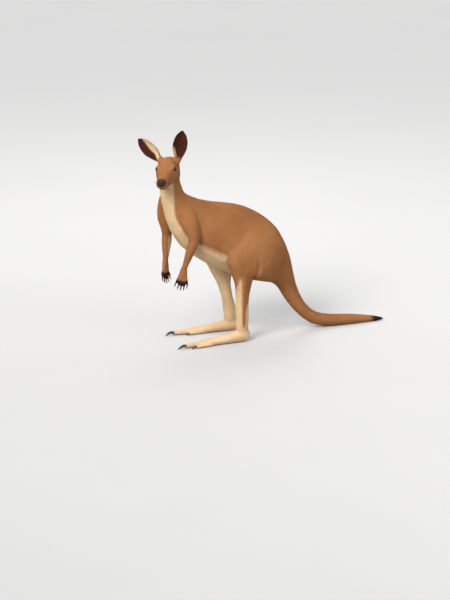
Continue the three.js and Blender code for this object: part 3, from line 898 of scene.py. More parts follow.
# %% Sculpt the nose, the nostrils and the mouth
# Depths and heights are in metres, everything else in head lengths.
NOSE_DOME = 0.0065  # how far the middle of the pad stands forward of its rim
SLITS = ((0.0115, 0.0034), (0.020, 0.0016))  # width and depth of the nostril's steps
SLIT_SIDE, SLIT_SLANT, SLIT_HIGH = 0.050, 0.25, 0.62
PAD_RISE, COMMA_DEPTH, CLEFT_DEPTH, MOUTH_DEPTH = 0.0011, 0.0016, 0.0015, 0.0022
UPPER_LIP, LOWER_LIP = (0.0010, 0.022, 0.014), (0.0006, -0.018, 0.012)  # rise, height, width


def sculpt_face(co):
    """How far each point of the face moves out along its normal, in metres."""
    local = in_head(co)
    forward, left, up = local.T
    side = np.abs(left)
    face = (np.abs(local) < (0.8, 0.3, 0.35)).all(1)
    move = PAD_RISE * nose_pad(local)
    front = step(forward, 0.56, 0.60)
    for width, depth in SLITS:
        across = (side - SLIT_SIDE - SLIT_SLANT * (up - 0.002)) / width
        slit = np.hypot(across, up / (SLIT_HIGH * width))
        move -= depth * np.exp(-(slit**2)) * front
    comma = np.hypot((side - 0.069) / 0.014, (up - 0.012) / 0.007)
    move -= COMMA_DEPTH * np.exp(-(comma**2)) * step(forward, 0.53, 0.57)
    cleft = ridge(left, 0, 0.006) * step(up, -0.122, -0.112) * step(up, 0.000, -0.02)
    move -= CLEFT_DEPTH * cleft * front
    along = step(forward, 0.255, 0.30)
    move -= MOUTH_DEPTH * ridge(up, lip_line(forward), 0.0065) * along
    for rise, high, width in (UPPER_LIP, LOWER_LIP):
        move += rise * ridge(up, lip_line(forward) + high, width) * along
    return move * face


places += normals_of(skin_mesh) * sculpt_face(places)[:, None]
forward, left, high = in_head(places).T
dome = np.clip(1 - (left / 0.115) ** 2 - ((high - PAD_MIDDLE) / 0.100) ** 2, -0.5, 1)
places += head_axes[:, 0] * (NOSE_DOME * dome * step(forward, 0.54, 0.60))[:, None]
set_points(skin_mesh, places)
print("face sculpted")

# %% [markdown]
# ## A lighter skin
#
# The clay has far more faces than a smooth flank needs. Collapsing edges
# keeps the fine ones on the face, ears, hands and feet, and spends fewer
# on the trunk, where the coat hides the difference.

# %% Thin out the mesh where it is smooth
SKIN_FACES = 190000


def smooth(mesh):
    """Shades every face of a mesh as part of one smooth surface."""
    mesh.polygons.foreach_set("use_smooth", np.ones(len(mesh.polygons), bool))
    mesh.update()


skin = placed("skin", skin_mesh)
triangles = sum(len(p.vertices) - 2 for p in skin_mesh.polygons)
thin = skin.modifiers.new("thin", "DECIMATE")
thin.ratio = SKIN_FACES / triangles
depsgraph = bpy.context.evaluated_depsgraph_get()
thin_mesh = bpy.data.meshes.new_from_object(skin.evaluated_get(depsgraph))
skin.modifiers.clear()
skin.data = thin_mesh
thin_mesh.name = "skin"
with reworked(thin_mesh) as bm:
    bmesh.ops.triangulate(bm, faces=bm.faces)
smooth(thin_mesh)
places = points_of(thin_mesh)
region = node_of(places)
web = web_of(thin_mesh)
normals = normals_of(thin_mesh)
print("skin:", len(thin_mesh.polygons), "triangles",
      "closed:", len(thin_mesh.vertices) - len(thin_mesh.edges) + len(thin_mesh.polygons) == 2)
print({FLESH[k]: int(n) for k, n in enumerate(np.bincount(region)) if n})

# %% [markdown]
# ## The lie of the coat
#
# Hair on a real animal streams from the nose over the head, down the neck
# and along the body to the tail, and down each limb. The tufts, and the
# eye that reads them, need one smooth field of directions. Each region
# gives its own, the mesh relaxes them into each other, and what points out
# of the skin is taken away.

# %% Ear frames
EAR_ROOT = (-0.125, 0.175, 0.155)  # back, out and up from the head's middle, in head lengths
EAR_LENGTH = 0.154
EAR_TURNS = {"left": (8, 20, 14), "right": (50, 12, 0)}  # out, back and turn, in degrees
ear_frames = {}
for side, (out, backward, turn) in EAR_TURNS.items():
    way_out = IN_HEAD[side]
    spun = (
        Matrix.Rotation(-way_out * math.radians(out), 3, "X")
        @ Matrix.Rotation(-math.radians(backward), 3, "Y")
        @ Matrix.Rotation(way_out * math.radians(turn), 3, "Z")
    )
    root = from_head(EAR_ROOT[0], way_out * EAR_ROOT[1], EAR_ROOT[2])
    ear_frames[side] = (root, head_axes @ np.array(spun))
    lines[f"ear_{side}"] = np.array([root, root + ear_frames[side][1][:, 2] * EAR_LENGTH])


def in_ear(co, side):
    """Places in an ear's frame: x out of the cup, y across, z to the tip."""
    root, axes = ear_frames[side]
    return (co - root) @ axes


# %% Directions
def unit(rows):
    """Each row at length one."""
    return rows / np.maximum(np.linalg.norm(rows, axis=-1, keepdims=True), 1e-9)


def side_of(name):
    """The last word of a node's name, which is its side where it has one."""
    return name.rsplit("_", 1)[-1]


HAIR_START = (0.72, 0, -0.03)  # the head's hair streams away from here, in front of the nose
DROOP = 0.50  # how far the hair of the flank leans down, against its run to the tail
DROOP_ENDS = (0.35, 0.55)  # shares of the spine between which the lean dies away
LIMB_TAKES_OVER = (0.15, 0.85)  # shares of the limb between which its hair turns to run down it

way = np.zeros_like(places)
for k, name in enumerate(FLESH):
    mine = region == k
    if name == "head":
        way[mine] = places[mine] - from_head(*HAIR_START)
    elif name == "neck":
        way[mine] = on_sections(places[mine], NECK)[2]
    elif name.startswith(("trunk", "tail")):
        row, share, tangent, down = on_sections(places[mine], SPINE)
        droop = DROOP * np.sin(np.clip(share, 0, 1) * math.pi)
        droop *= step(-row, -DROOP_ENDS[1], -DROOP_ENDS[0])
        way[mine] = tangent + down * droop[:, None]
    else:
        line = lines[name]
        way[mine] = unit(line[-1] - line[0])
        if name.startswith(("thigh", "upper_arm")):  # the trunk's stream runs on over the top
            _, _, tangent, down = on_sections(places[mine], SPINE)
            limb = step(round_line(places[mine], line)[0], *LIMB_TAKES_OVER)[:, None]
            way[mine] = (tangent + DROOP * down) * (1 - limb) + way[mine] * limb


# %% Let the directions flow into each other
FLOWS, FLOW_ROUNDS = 10, 10


def flattened(rows, normal):
    """Directions laid flat on the surface with those normals."""
    return unit(rows - normal * (rows * normal).sum(1)[:, None])


way = flattened(unit(way), normals)
for _ in range(FLOWS):
    way = flattened(web.relax(way, FLOW_ROUNDS), normals)
print("mean change of lie over an edge:",
      round(float(np.linalg.norm(way[web.a] - way[web.b], axis=1).mean()), 3))

# %% [markdown]
# ## The markings
#
# A tan-brown back and flanks, a cream front from the throat down the chest
# and belly to the inside of the thighs, cream shanks with a brown stripe
# down the outside, cream feet, black fingers, toes and tail tip, and dark
# ears with a cream inner edge. Each marking is a rule on where a point
# lies on the body, stored as a number from 0 to 1, so skin and coat share
# it. A little waviness in each edge keeps it from looking cut with a knife.

# %% Waviness
WAVES = (  # a way in x, y and z, and a phase
    (1.0, 0.6, -0.5, 0.3),
    (-0.4, 1.1, 0.7, 1.9),
    (0.8, -0.7, 1.0, 4.1),
    (1.9, 1.3, 0.4, 2.2),
)


def wavy(co, size):
    """A soft irregular wave between -1 and 1 with features of that size."""
    p = co * (2 * math.pi / size)
    total = np.zeros(len(co))
    for *wave_way, phase in WAVES:
        total += np.sin(p @ np.array(wave_way) + phase)
    return total / len(WAVES)


# %% Which points a rule is for
def on(*starts):
    """Whether each point lies on a CAD node whose name starts so."""
    return np.isin(region, [k for k, name in enumerate(FLESH) if name.startswith(starts)])


def parts(*starts):
    """Each flesh node whose name starts so: its name and side, its points,
    and their places and waves."""
    for k, name in enumerate(FLESH):
        if name.startswith(starts):
            mine = region == k
            yield name, side_of(name), mine, places[mine], waves[mine]


pale, dark = np.zeros(len(places)), np.zeros(len(places))
ear_dark, bare = np.zeros(len(places)), np.zeros(len(places))
waves = wavy(places, 0.05) * 0.6 + wavy(places, 0.017) * 0.4
local = in_head(places)
print("points on the head:", int(on("head").sum()), "and the feet:", int(on("foot").sum()))


# %% Cream down the throat, chest and belly
def half_width(table, row):
    """Half the body's width at each row of a table."""
    rows = finer(table)
    return rows[np.rint(row * (len(rows) - 1)).astype(int), 4]


# Where the middle of the cream lies round the neck, in degrees, by the share
# of the way down it: the throat turns with the head, so it starts turned.
THROAT_MIDDLE = ((0.50, 0.71, 0.85, 1.0), (-39, -27, -7, 2))
THROAT_HALF, THROAT_SOFT, THROAT_WAVE = 50, 5, 3
# How far up from the belly line the cream reaches, by the share of the way
# along the spine, and the shares between which it ends under the tail.
BELLY_EDGE = ((0.0, 0.05, 0.09, 0.13, 0.15, 0.21), (0.27, 0.22, 0.19, 0.225, 0.245, 0.262))
BELLY_END = (0.24, 0.31)
BELLY_SOFT, BELLY_WAVE = 0.025, 0.012
NECK_ENDS = (0.65, 0.70)  # heights between which the throat's rule gives way to the belly's

on_body = on("neck", "trunk")
body, wave = places[on_body], waves[on_body]
row, share = on_sections(body, NECK)[:2]
angle = np.degrees(np.arctan2(body[:, 1] / half_width(NECK, row), 1 - 2 * share))
off_middle = np.abs(angle - np.interp(row, *THROAT_MIDDLE))
throat = step(THROAT_HALF + THROAT_WAVE * wave - off_middle, -THROAT_SOFT, THROAT_SOFT)
row, share = on_sections(body, SPINE)[:2]
edge = np.interp(row, *BELLY_EDGE) + BELLY_WAVE * wave
edge = edge * step(-row, -BELLY_END[1], -BELLY_END[0])
belly = step(edge - share, -BELLY_SOFT, BELLY_SOFT)
pale[on_body] = belly + (throat - belly) * step(body[:, 2], *NECK_ENDS)
print("cream on the body:", round(float(pale[on_body].mean()), 3))


# %% Cream under the jaw and inside the thighs
JAW_HALF = 0.15  # head lengths, as are the next three
JAW_BELOW, JAW_FRONT, JAW_BACK = (0.150, 0.185), (-0.20, 0.02), (-0.22, -0.12)
INNER = {"left": 0.21, "right": -0.42}  # how far a thigh faces inwards where its cream begins
INNER_SOFT, INNER_WAVE = 0.11, 0.06
INNER_FRONT, INNER_BELOW = (0.0, 0.05), (-0.50, -0.42)  # metres forward, and metres of height

on_head = on("head")
forward, left, high = local[on_head].T
under = step(-high, *JAW_BELOW) * step(-forward, *JAW_FRONT) * step(forward, *JAW_BACK)
pale[on_head] = under * (np.abs(left) < JAW_HALF)
bare[on_head] = nose_pad(local[on_head])
for name, side, mine, p, wave in parts("thigh"):
    facing = -SIDES[side] * normals[mine][:, 1]
    edge = INNER[side]
    inner = step(facing + INNER_WAVE * wave, edge - INNER_SOFT, edge + INNER_SOFT)
    pale[mine] = inner * step(-p[:, 0], *INNER_FRONT) * step(-p[:, 2], *INNER_BELOW)
print("cream on the head and thighs:", round(float(pale[on("head", "thigh")].mean()), 3))

# %% Shanks, with their brown stripe, and feet
# Angles run round the shank in degrees from the front to the outer side.
SHIN_START = {"left": -25, "right": 40}  # where the knee's brown begins
STRIPE_FRONT = 66
STRIPE_REAR = ((0.275, 0.41, 0.55, 0.665, 0.775, 0.965), (205, 160, 138, 123, 113, 105))
STRIPE_END, STRIPE_MIDDLE, STRIPE_HALF, STRIPE_BOW = 0.925, 88, 22, 0.05
SHIN_END, SHIN_SLANT = 0.26, 0.004  # share of the way down, and its change with each degree
STRIPE_SOFT, SHIN_SOFT = 7, 10
TOE_DARK = 0.046  # metres back from the longest claw's tip

for name, side, mine, p, wave in parts("shank"):
    down, angle = round_line(p, lines[name])
    angle *= SIDES[side]
    angle = np.where(angle < -90, angle + 360, angle)
    stripe = step(angle - STRIPE_FRONT - 4 * wave, -STRIPE_SOFT, STRIPE_SOFT)
    stripe *= step(np.interp(down, *STRIPE_REAR) - angle + 3 * wave, -STRIPE_SOFT, STRIPE_SOFT)
    end = STRIPE_END - STRIPE_BOW * ((angle - STRIPE_MIDDLE) / STRIPE_HALF) ** 2
    stripe *= step(np.where(down < 0.5, 1, end - down), -0.012, 0.012)
    shin_end = SHIN_END - SHIN_SLANT * np.clip(angle, -60, 60)
    shin = step(shin_end - down, -0.04, 0.04)
    shin = shin * step(angle - SHIN_START[side], -SHIN_SOFT, SHIN_SOFT)
    pale[mine] = 1 - np.maximum(stripe, shin)
for name, side, mine, p, wave in parts("foot"):
    pale[mine] = 1
    tip = min(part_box(f"foot_claw_{side}_{j}")[0].x for j in range(1, 5))
    dark[mine] = step(tip + TOE_DARK - p[:, 0], -0.004, 0.004)
print("cream on the shanks:", round(float(pale[on("shank")].mean()), 3))

# %% Forearms, hands and tail
FOREARM_MIDDLE, FOREARM_HALF, FOREARM_NARROWS = 125, 36, 18  # degrees from the front, inwards
FOREARM_FADES = (0.60, 0.74)  # shares of the way down
HAND_DARK = 0.061  # metres above the lowest claw's tip
NOTCH_DEPTH, NOTCH_WIDTH = 0.008, 0.012
TAIL_DARK = 0.076  # metres before the tail's end

for name, side, mine, p, wave in parts("forearm"):
    down, angle = round_line(p, lines[name])
    inner = np.abs(angle * SIDES[side] + FOREARM_MIDDLE)
    inner = np.minimum(inner, 360 - inner)
    cream = step(FOREARM_HALF - FOREARM_NARROWS * down - inner + 3 * wave, -7, 7)
    pale[mine] = cream * step(-down, -FOREARM_FADES[1], -FOREARM_FADES[0])
for name, side, mine, p, wave in parts("hand"):
    low = min(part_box(f"hand_claw_{side}_{j}")[0].z for j in range(1, 6))
    notch = NOTCH_DEPTH * ridge(p[:, 0], lines[name][:, 0].mean(), NOTCH_WIDTH)
    dark[mine] = step(low + HAND_DARK - notch - p[:, 2] + 0.002 * wave, -0.003, 0.004)
for name, side, mine, p, wave in parts("tail_tip", "tail_end"):
    dark[mine] = step(p[:, 0] - (cad_box[1].x - TAIL_DARK) + 0.004 * wave, -0.006, 0.006)
print("dark on the hands and the tail:", round(float(dark[on("hand", "tail")].mean()), 3))

# %% Ears
EAR_EDGES = {  # by the share of the way up the ear, how far towards its inner rim the dark reaches
    "left": ((0.10, 0.20, 0.30, 0.40, 0.48), (0.035, 0.055, 0.095, 0.15, 0.28)),
    "right": ((0.10, 0.25, 0.46, 0.67, 0.84, 0.92), (-0.075, -0.04, -0.03, 0.02, 0.067, 0.20)),
}
CUP_MIDDLE = ((0, 0.33, 0.5, 0.67, 1), (0, 0.02, 0.09, 0.14, 0.15))  # in ear lengths
EAR_SOFT, BACK_DARKNESS = 0.018, 0.75

for name, side, mine, p, wave in parts("ear"):
    q = in_ear(p, side) / EAR_LENGTH
    ahead = np.interp(q[:, 2], *CUP_MIDDLE) - q[:, 0]
    to_axis = np.stack([ahead, -q[:, 1], np.zeros(len(q))], 1)
    facing = ((normals[mine] @ ear_frames[side][1]) * to_axis).sum(1)
    inside = step(facing, -0.01, 0.02)
    medial = -IN_HEAD[side] * q[:, 1]
    cream = inside * step(medial - np.interp(q[:, 2], *EAR_EDGES[side]), -EAR_SOFT, EAR_SOFT)
    pale[mine] = cream
    back_dark = BACK_DARKNESS * step(q[:, 2], 0.12, 0.55)
    cup_dark = inside * step(q[:, 2], 0.02, 0.12)
    ear_dark[mine] = (1 - cream) * np.maximum(cup_dark, back_dark)
print("dark on the ears:", round(float(ear_dark[on("ear")].mean()), 3))

# %% Bare lids, lips and soles
MOUTH_BARE, SOLE_BARE = 0.80, 0.85
for side in SIDES:
    measure = eye_opening(places, side)[0]
    bare = np.maximum(bare, step(-measure, -1.22, -1.12))
mouth = ridge(local[:, 2], lip_line(local[:, 0]), 0.006) * step(local[:, 0], 0.27, 0.31)
mouth *= on("head")
sole = step(-places[:, 2], -0.010, -0.004) * step(-normals[:, 2], 0.55, 0.8) * on("foot")
bare = np.maximum.reduce([bare, MOUTH_BARE * mouth, SOLE_BARE * sole])
pale, dark, ear_dark = (np.clip(web.relax(v, 2), 0, 1) for v in (pale, dark, ear_dark))
print("share of points pale, dark, ear, bare:",
      [round(float(v.mean()), 3) for v in (pale, dark, ear_dark, bare)])


# %% Store the markings on a mesh
def store(mesh, **measures):
    """Stores numbers on a mesh's points, each under its name."""
    for name, values in measures.items():
        layer = mesh.attributes.get(name) or mesh.attributes.new(name, "FLOAT", "POINT")
        layer.data.foreach_set("value", np.asarray(values, np.float32))


def store_places(mesh, name, *columns):
    """Stores a place on each of a mesh's points, from its three columns."""
    layer = mesh.attributes.new(name, "FLOAT_VECTOR", "POINT")
    layer.data.foreach_set("vector", np.stack(columns, 1).astype(np.float32).ravel())


store(skin.data, pale=pale, dark=dark, ear_dark=ear_dark, bare=bare)

# %% [markdown]
# ## The colours
#
# One recipe paints the skin and every piece of coat, so they can't drift
# apart. Hair is never one flat brown: the recipe lets two browns wander
# into each other in large soft clouds, adds a finer grain, and then each
# tuft brings its own small lightness, darker at the root and lighter at
# the tip. The darker root is partly the hair's own banding and partly
# painted shade where the roots crowd. The skin under the coat is also
# painted a shade deeper, as the shade in the gaps between tufts. Wear
# and dust do not come into it; a coat in life is clean.

# %% The body's colours
BROWN, BROWN_DEEP = (0.372, 0.160, 0.060), (0.312, 0.126, 0.043)
CREAM, CREAM_WARM = (0.700, 0.495, 0.290), (0.620, 0.410, 0.225)
SOOT, SOOT_WARM = (0.016, 0.010, 0.009), (0.030, 0.018, 0.014)
EAR_BROWN, EAR_DEEP = (0.064, 0.015, 0.007), (0.038, 0.010, 0.005)
BARE, BARE_DEEP = (0.046, 0.014, 0.011), (0.022, 0.008, 0.007)
CLOUD_SCALE, GRAIN_SCALE = 9, 160


def body_colour(tree):
    """The colour of the coat at a point, from the stored markings and noise."""
    clouds = spread(tree, noise(tree, CLOUD_SCALE, 3), 0.35, 0.65)
    grain = spread(tree, noise(tree, GRAIN_SCALE, 2), 0.30, 0.70)
    brown = blended(tree, clouds, BROWN, BROWN_DEEP)
    brown = blended(tree, spread(tree, grain, 0, 1, 0, 0.35), brown, BROWN_DEEP)
    cream = blended(tree, clouds, CREAM, CREAM_WARM)
    colour = blended(tree, attribute(tree, "pale"), brown, cream)
    ear = blended(tree, grain, EAR_BROWN, EAR_DEEP)
    colour = blended(tree, attribute(tree, "ear_dark"), colour, ear)
    soot = blended(tree, grain, SOOT, SOOT_WARM)
    return blended(tree, attribute(tree, "dark"), colour, soot)


# %% Coat paint
COAT_ROUGHNESS, COAT_SHINE = 0.75, 0.10


def coat_paint(name):
    """Paint for tufts: the body's colour, lightened or darkened tuft by tuft, with painted shade
    low at each tuft's root.
    """
    made, tree, shader = new_material(name)
    toned = tree.nodes.new("ShaderNodeHueSaturation")
    tree.links.new(body_colour(tree), toned.inputs["Color"])
    # each tuft's own lightness, with painted shade darkening its root
    tree.links.new(attribute(tree, "tone"), toned.inputs["Value"])
    tree.links.new(toned.outputs[0], shader.inputs["Base Color"])
    shader.inputs["Roughness"].default_value = COAT_ROUGHNESS
    shader.inputs["Specular IOR Level"].default_value = COAT_SHINE
    return made


print("coat paint ready")

# %% Skin paint
SKIN_GAP_SHADE = 0.94  # painted shade: the skin darker than the hair over it, as the shade in the gaps between tufts
SKIN_SHINE, HAIR_ROUGHNESS, BARE_ROUGHNESS = 0.15, 0.92, 0.44
PEBBLE_SCALE, SKIN_HAIR_SCALE, SKIN_BUMP = 620, 420, 0.0007


def skin_paint(name):
    """Paint for the skin: the same colours, darkened as painted shade for the gaps
    between tufts, and bare skin on the nose and lids, with the fine pebbling of a real nose."""
    made, tree, shader = new_material(name)
    toned = tree.nodes.new("ShaderNodeHueSaturation")
    # painted shade for the gaps between tufts
    toned.inputs["Value"].default_value = SKIN_GAP_SHADE
    tree.links.new(body_colour(tree), toned.inputs["Color"])
    naked = attribute(tree, "bare")
    pebbles = tree.nodes.new("ShaderNodeTexVoronoi")
    pebbles.inputs["Scale"].default_value = PEBBLE_SCALE
    place = tree.nodes.new("ShaderNodeTexCoord")
    tree.links.new(place.outputs["Object"], pebbles.inputs["Vector"])
    leather = blended(tree, spread(tree, pebbles.outputs["Distance"], 0.1, 0.6), BARE_DEEP, BARE)
    tree.links.new(blended(tree, naked, toned.outputs[0], leather), shader.inputs["Base Color"])
    roughness = spread(tree, naked, 0, 1, HAIR_ROUGHNESS, BARE_ROUGHNESS)
    tree.links.new(roughness, shader.inputs["Roughness"])
    shader.inputs["Specular IOR Level"].default_value = SKIN_SHINE
    hair = noise(tree, SKIN_HAIR_SCALE, 3)
    mixed = tree.nodes.new("ShaderNodeMix")
    tree.links.new(naked, mixed.inputs[0])
    tree.links.new(hair, mixed.inputs[2])
    tree.links.new(pebbles.outputs["Distance"], mixed.inputs[3])
    bumped(tree, shader, mixed.outputs[0], SKIN_BUMP)
    return made


skin.data.materials.clear()
skin.data.materials.append(skin_paint("skin_paint"))
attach(skin, "root")
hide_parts(*FLESH)
print("skin replaces", len(FLESH), "nodes")

# %% [markdown]
# ## The coat
#
# A tuft is a small closed blade of four points: left, right and top at the
# root, and one at the tip. It starts a little under the skin and lies along
# the coat's direction. Its tip is dropped back onto the skin and lifted by
# a set height, so it follows a curved flank without floating off or diving
# in. Particle hair would be quicker, but a mesh travels to every other
# tool. Roots are spread evenly by area, closest on the face and the feet,
# where the tufts are smallest.

# %% Where the roots go
triangles = np.empty(len(skin.data.polygons) * 3, np.int32)
skin.data.polygons.foreach_get("vertices", triangles)
triangles = triangles.reshape(-1, 3)
corners = places[triangles]
areas = np.linalg.norm(
    np.cross(corners[:, 1] - corners[:, 0], corners[:, 2] - corners[:, 0]), axis=1) / 2
triangle_region = region[triangles[:, 0]]
skin_tree = BVHTree.FromPolygons(places.tolist(), triangles.tolist())
print("skin area:", round(float(areas.sum()), 3), "square metres")

open_eyes = np.full(len(places), FAR)
for side in SIDES:
    open_eyes = np.minimum(open_eyes, eye_opening(places, side)[0])
depth_skin = web.relax(depth_of[region], 8)
lid_edges = step(-open_eyes, -1.16, -1.08)
hairy = 1 - np.maximum.reduce([nose_pad(local) * (bare > 0.5), sole, lid_edges])


def tree_points(co, lift):
    """Each place dropped onto the skin and lifted off it by lift."""
    out = np.empty_like(co)
    for k, p in enumerate(co):
        spot, normal, _, _ = skin_tree.find_nearest(p)
        out[k] = spot + normal * lift[k]
    return out


def roots_on(chosen, per_metre, rng):
    """Evenly spread roots on the chosen triangles: triangle numbers and the
    three shares of its corners."""
    weight = np.where(chosen, areas * hairy[triangles].mean(1), 0)
    total = np.cumsum(weight)
    count = int(total[-1] * per_metre)
    marks = (np.arange(count) + rng.random(count)) * (total[-1] / count)
    picked = np.minimum(np.searchsorted(total, marks), len(total) - 1)
    u, v = rng.random(count), rng.random(count)
    over = u + v > 1
    u[over], v[over] = 1 - u[over], 1 - v[over]
    return picked, np.stack([1 - u - v, u, v], 1)


def at_roots(values, picked, shares):
    """A measure of the skin's points, at the roots."""
    rows = values[triangles[picked]]
    shares = shares if rows.ndim == 2 else shares[:, :, None]
    return (rows * shares).sum(1)


# %% Unwrap a region round its own middle line
SHEET_EDGE, SHEET_SPAN = 0.004, 0.992  # where the sheet starts, and how far it runs


def unwrapped(co, line):
    """Each root's place on a sheet made by slitting the part along its
    underside and rolling it flat: across is the angle round the middle line
    of the part and up is the way along it, both from 0 to 1."""
    steps = np.append(0, np.cumsum(np.linalg.norm(np.diff(line, axis=0), axis=1)))
    best, share = np.full(len(co), np.inf), np.zeros(len(co))
    centre, axis = np.zeros_like(co), np.zeros_like(co)
    for k in range(len(line) - 1):
        a, b = line[k], line[k + 1]
        t = ((co - a) @ (b - a)) / ((b - a) @ (b - a))
        low = -9 if k == 0 else 0  # the first and last steps run on past the line's ends
        high = 9 if k == len(line) - 2 else 1
        t = np.clip(t, low, high)
        foot = a + t[:, None] * (b - a)
        gap = np.linalg.norm(co - foot, axis=1)
        closer = gap < best
        best[closer] = gap[closer]
        share[closer] = (steps[k] + t * (steps[k + 1] - steps[k]))[closer]
        centre[closer] = foot[closer]
        axis[closer] = (b - a) / np.linalg.norm(b - a)
    side_way = np.cross(axis, (0.0, 1.0, 0.0))
    up_way = np.cross(side_way, axis)
    gap = co - centre
    angle = np.arctan2((gap * up_way).sum(1), (gap * side_way).sum(1)) / (2 * math.pi) + 0.5
    share = (share - share.min()) / max(share.max() - share.min(), 1e-9)
    return SHEET_EDGE + SHEET_SPAN * np.stack([angle, share], 1)


# %% Build tufts as one mesh
PATCH = 0.003  # how large a tuft's patch is on the unwrapped sheet
BLADE_FACES = ((0, 2, 1), (0, 1, 3), (1, 2, 3), (2, 0, 3))
PATCH_CORNERS = ((-0.5, -0.5), (0.5, -0.5), (0.0, -0.25), (0.0, 0.5))


def blade_mesh(name, points, shading, tones, masks, uv):
    """Closed blades of four points each, left, right, top and tip, as one object."""
    count = len(points)
    mesh = bpy.data.meshes.new(name)
    mesh.vertices.add(count * 4)
    mesh.vertices.foreach_set("co", points.astype(np.float32).ravel())
    loops = (np.array(BLADE_FACES).ravel()[None] + 4 * np.arange(count)[:, None]).ravel()
    mesh.loops.add(len(loops))
    mesh.loops.foreach_set("vertex_index", loops.astype(np.int32))
    mesh.polygons.add(count * 4)
    mesh.polygons.foreach_set("loop_start", np.arange(0, len(loops), 3, dtype=np.int32))
    mesh.polygons.foreach_set("use_smooth", np.ones(count * 4, bool))
    mesh.update(calc_edges=True)
    store(mesh, tone=tones.ravel(), **{k: np.repeat(v, 4) for k, v in masks.items()})
    spot = uv[:, None, :] + PATCH * np.array(PATCH_CORNERS)[None]
    layer = mesh.uv_layers.new(name="OFBake")
    layer.uv.foreach_set("vector", spot.reshape(-1, 2)[loops].astype(np.float32).ravel())
    mesh.normals_split_custom_set_from_vertices(shading.reshape(-1, 3))
    return placed(name, mesh)


# %% Where the hair is shorter
MUZZLE_SHORTER, EYE_SHORTER, EYE_SPARED = 0.55, 0.45, 0.045
shorter = np.ones(len(places))
muzzle = step(local[:, 0], 0.20, 0.62)
shorter[on("head")] = (1 - MUZZLE_SHORTER * muzzle)[on("head")]
for side in SIDES:
    shorter *= 1 - EYE_SHORTER * near(places, eyes[side], EYE_SPARED)
print("shortest hair on the face:", round(float(shorter.min()), 2), "of its length")

# %% Grow the coat of each region
TONES_WITH_ROOT_SHADE = np.array([0.88, 0.88, 0.93, 1.06])  # lightness at a tuft's left, right, top and tip: darker low at the root, partly the hair's own banding and partly painted shade where the roots crowd; lightest at the tip
LIFT, LIFTS = (0.08, 0.64), {"head": (0.06, 0.50)}  # how high tips stand, in depths of the coat
LENGTHS, WIDTHS = (0.78, 1.18), (0.75, 1.2)  # shares of what the region asks for
ROOT_UNDER, TOP_SHARE, SIDE_LEAN, TIP_LEAN = 0.0006, 0.30, 0.40, 0.15
SWAYS, SWAY_EACH = ((0.10, 0.060), (0.22, 0.013)), 0.10  # radians, and width of the wave
TONE_EACH, TONE_WAVE = 0.075, (0.04, 0.020)  # how lightness varies, tuft by tuft and in waves

paint = coat_paint("coat_paint")
lines["head"] = np.array([from_head(-0.35, 0, 0), from_head(0.70, 0, -0.04)])
coat_total = 0
for k, name in enumerate(FLESH):
    length, width, per_metre = asks(name)[2:]
    rng = np.random.default_rng(100 + k)
    picked, shares = roots_on(triangle_region == k, per_metre, rng)
    count = len(picked)
    root, normal, lie = (at_roots(v, picked, shares) for v in (places, normals, way))
    normal = unit(normal)
    lie = flattened(lie, normal)
    scale = at_roots(shorter, picked, shares)
    across = np.cross(normal, lie)
    sway = sum(most * wavy(root, size) for most, size in SWAYS)
    sway = sway + rng.normal(0, SWAY_EACH, count)
    lie = lie * np.cos(sway)[:, None] + across * np.sin(sway)[:, None]
    across = np.cross(normal, lie)
    long = length * scale * rng.uniform(*LENGTHS, count)
    wide = width * (0.5 + 0.5 * scale) * rng.uniform(*WIDTHS, count)
    depth_here = at_roots(depth_skin, picked, shares)
    lift = depth_here * rng.uniform(*LIFTS.get(name, LIFT), count)
    tip = tree_points(root + lie * long[:, None], lift)
    side_step = across * (0.5 * wide)[:, None]
    base = root - normal * ROOT_UNDER
    top = base + normal * (ROOT_UNDER + TOP_SHARE * wide)[:, None]
    points = np.stack([base - side_step, base + side_step, top, tip], axis=1)
    lean = across * SIDE_LEAN
    at_tip = unit(normal + TIP_LEAN * lie)
    shading = np.stack([unit(normal - lean), unit(normal + lean), normal, at_tip], axis=1)
    masks = {m: at_roots(v, picked, shares) for m, v in
             (("pale", pale), ("dark", dark), ("ear_dark", ear_dark))}
    own = 1 + TONE_EACH * rng.normal(0, 1, count).clip(-2, 2)
    # own lightness tuft by tuft, times the painted root shade at each blade's points
    tones = (own + TONE_WAVE[0] * wavy(root, TONE_WAVE[1]))[:, None] * TONES_WITH_ROOT_SHADE
    line = lines.get(name, lines["trunk"])
    piece = blade_mesh(f"coat_{name}", points, shading, tones, masks, unwrapped(root, line))
    piece.data.materials.append(paint)
    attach(piece, "root")
    coat_total += count * 4
    print(f"coat_{name}: {count} tufts, {count * 4} triangles")
print("coat:", coat_total, "triangles")

# %% [markdown]
# ## The eyes
#
# A museum eye is a glass ball painted from behind, with a clear bulge over
# the iris. Here the ball and its bulge are one closed mesh, and the paint
# is worked out from each point's angle off the way the eye looks: pupil,
# a streaked dark iris, a darker ring and a brown ball. A clear hard coat
# over it gives the wet highlight. The eyes stay apart from the skin, so
# another user can turn or change them.

# %% Eye paint
IRIS_EDGE, PUPIL_EDGE = 0.62, 0.26  # as the sine of the angle off the eye's look
IRIS_DARK, IRIS_LIGHT = (0.022, 0.008, 0.005), (0.060, 0.024, 0.011)
PUPIL, IRIS_RING, BALL_BROWN = (0.004, 0.003, 0.004), (0.012, 0.006, 0.005), (0.060, 0.030, 0.020)
GLASS = {  # a hard clear coat over a matt painted ball
    "Roughness": 0.20,
    "Specular IOR Level": 0.0,
    "Coat Weight": 0.65,
    "Coat Roughness": 0.03,
    "Coat IOR": 1.40,
}


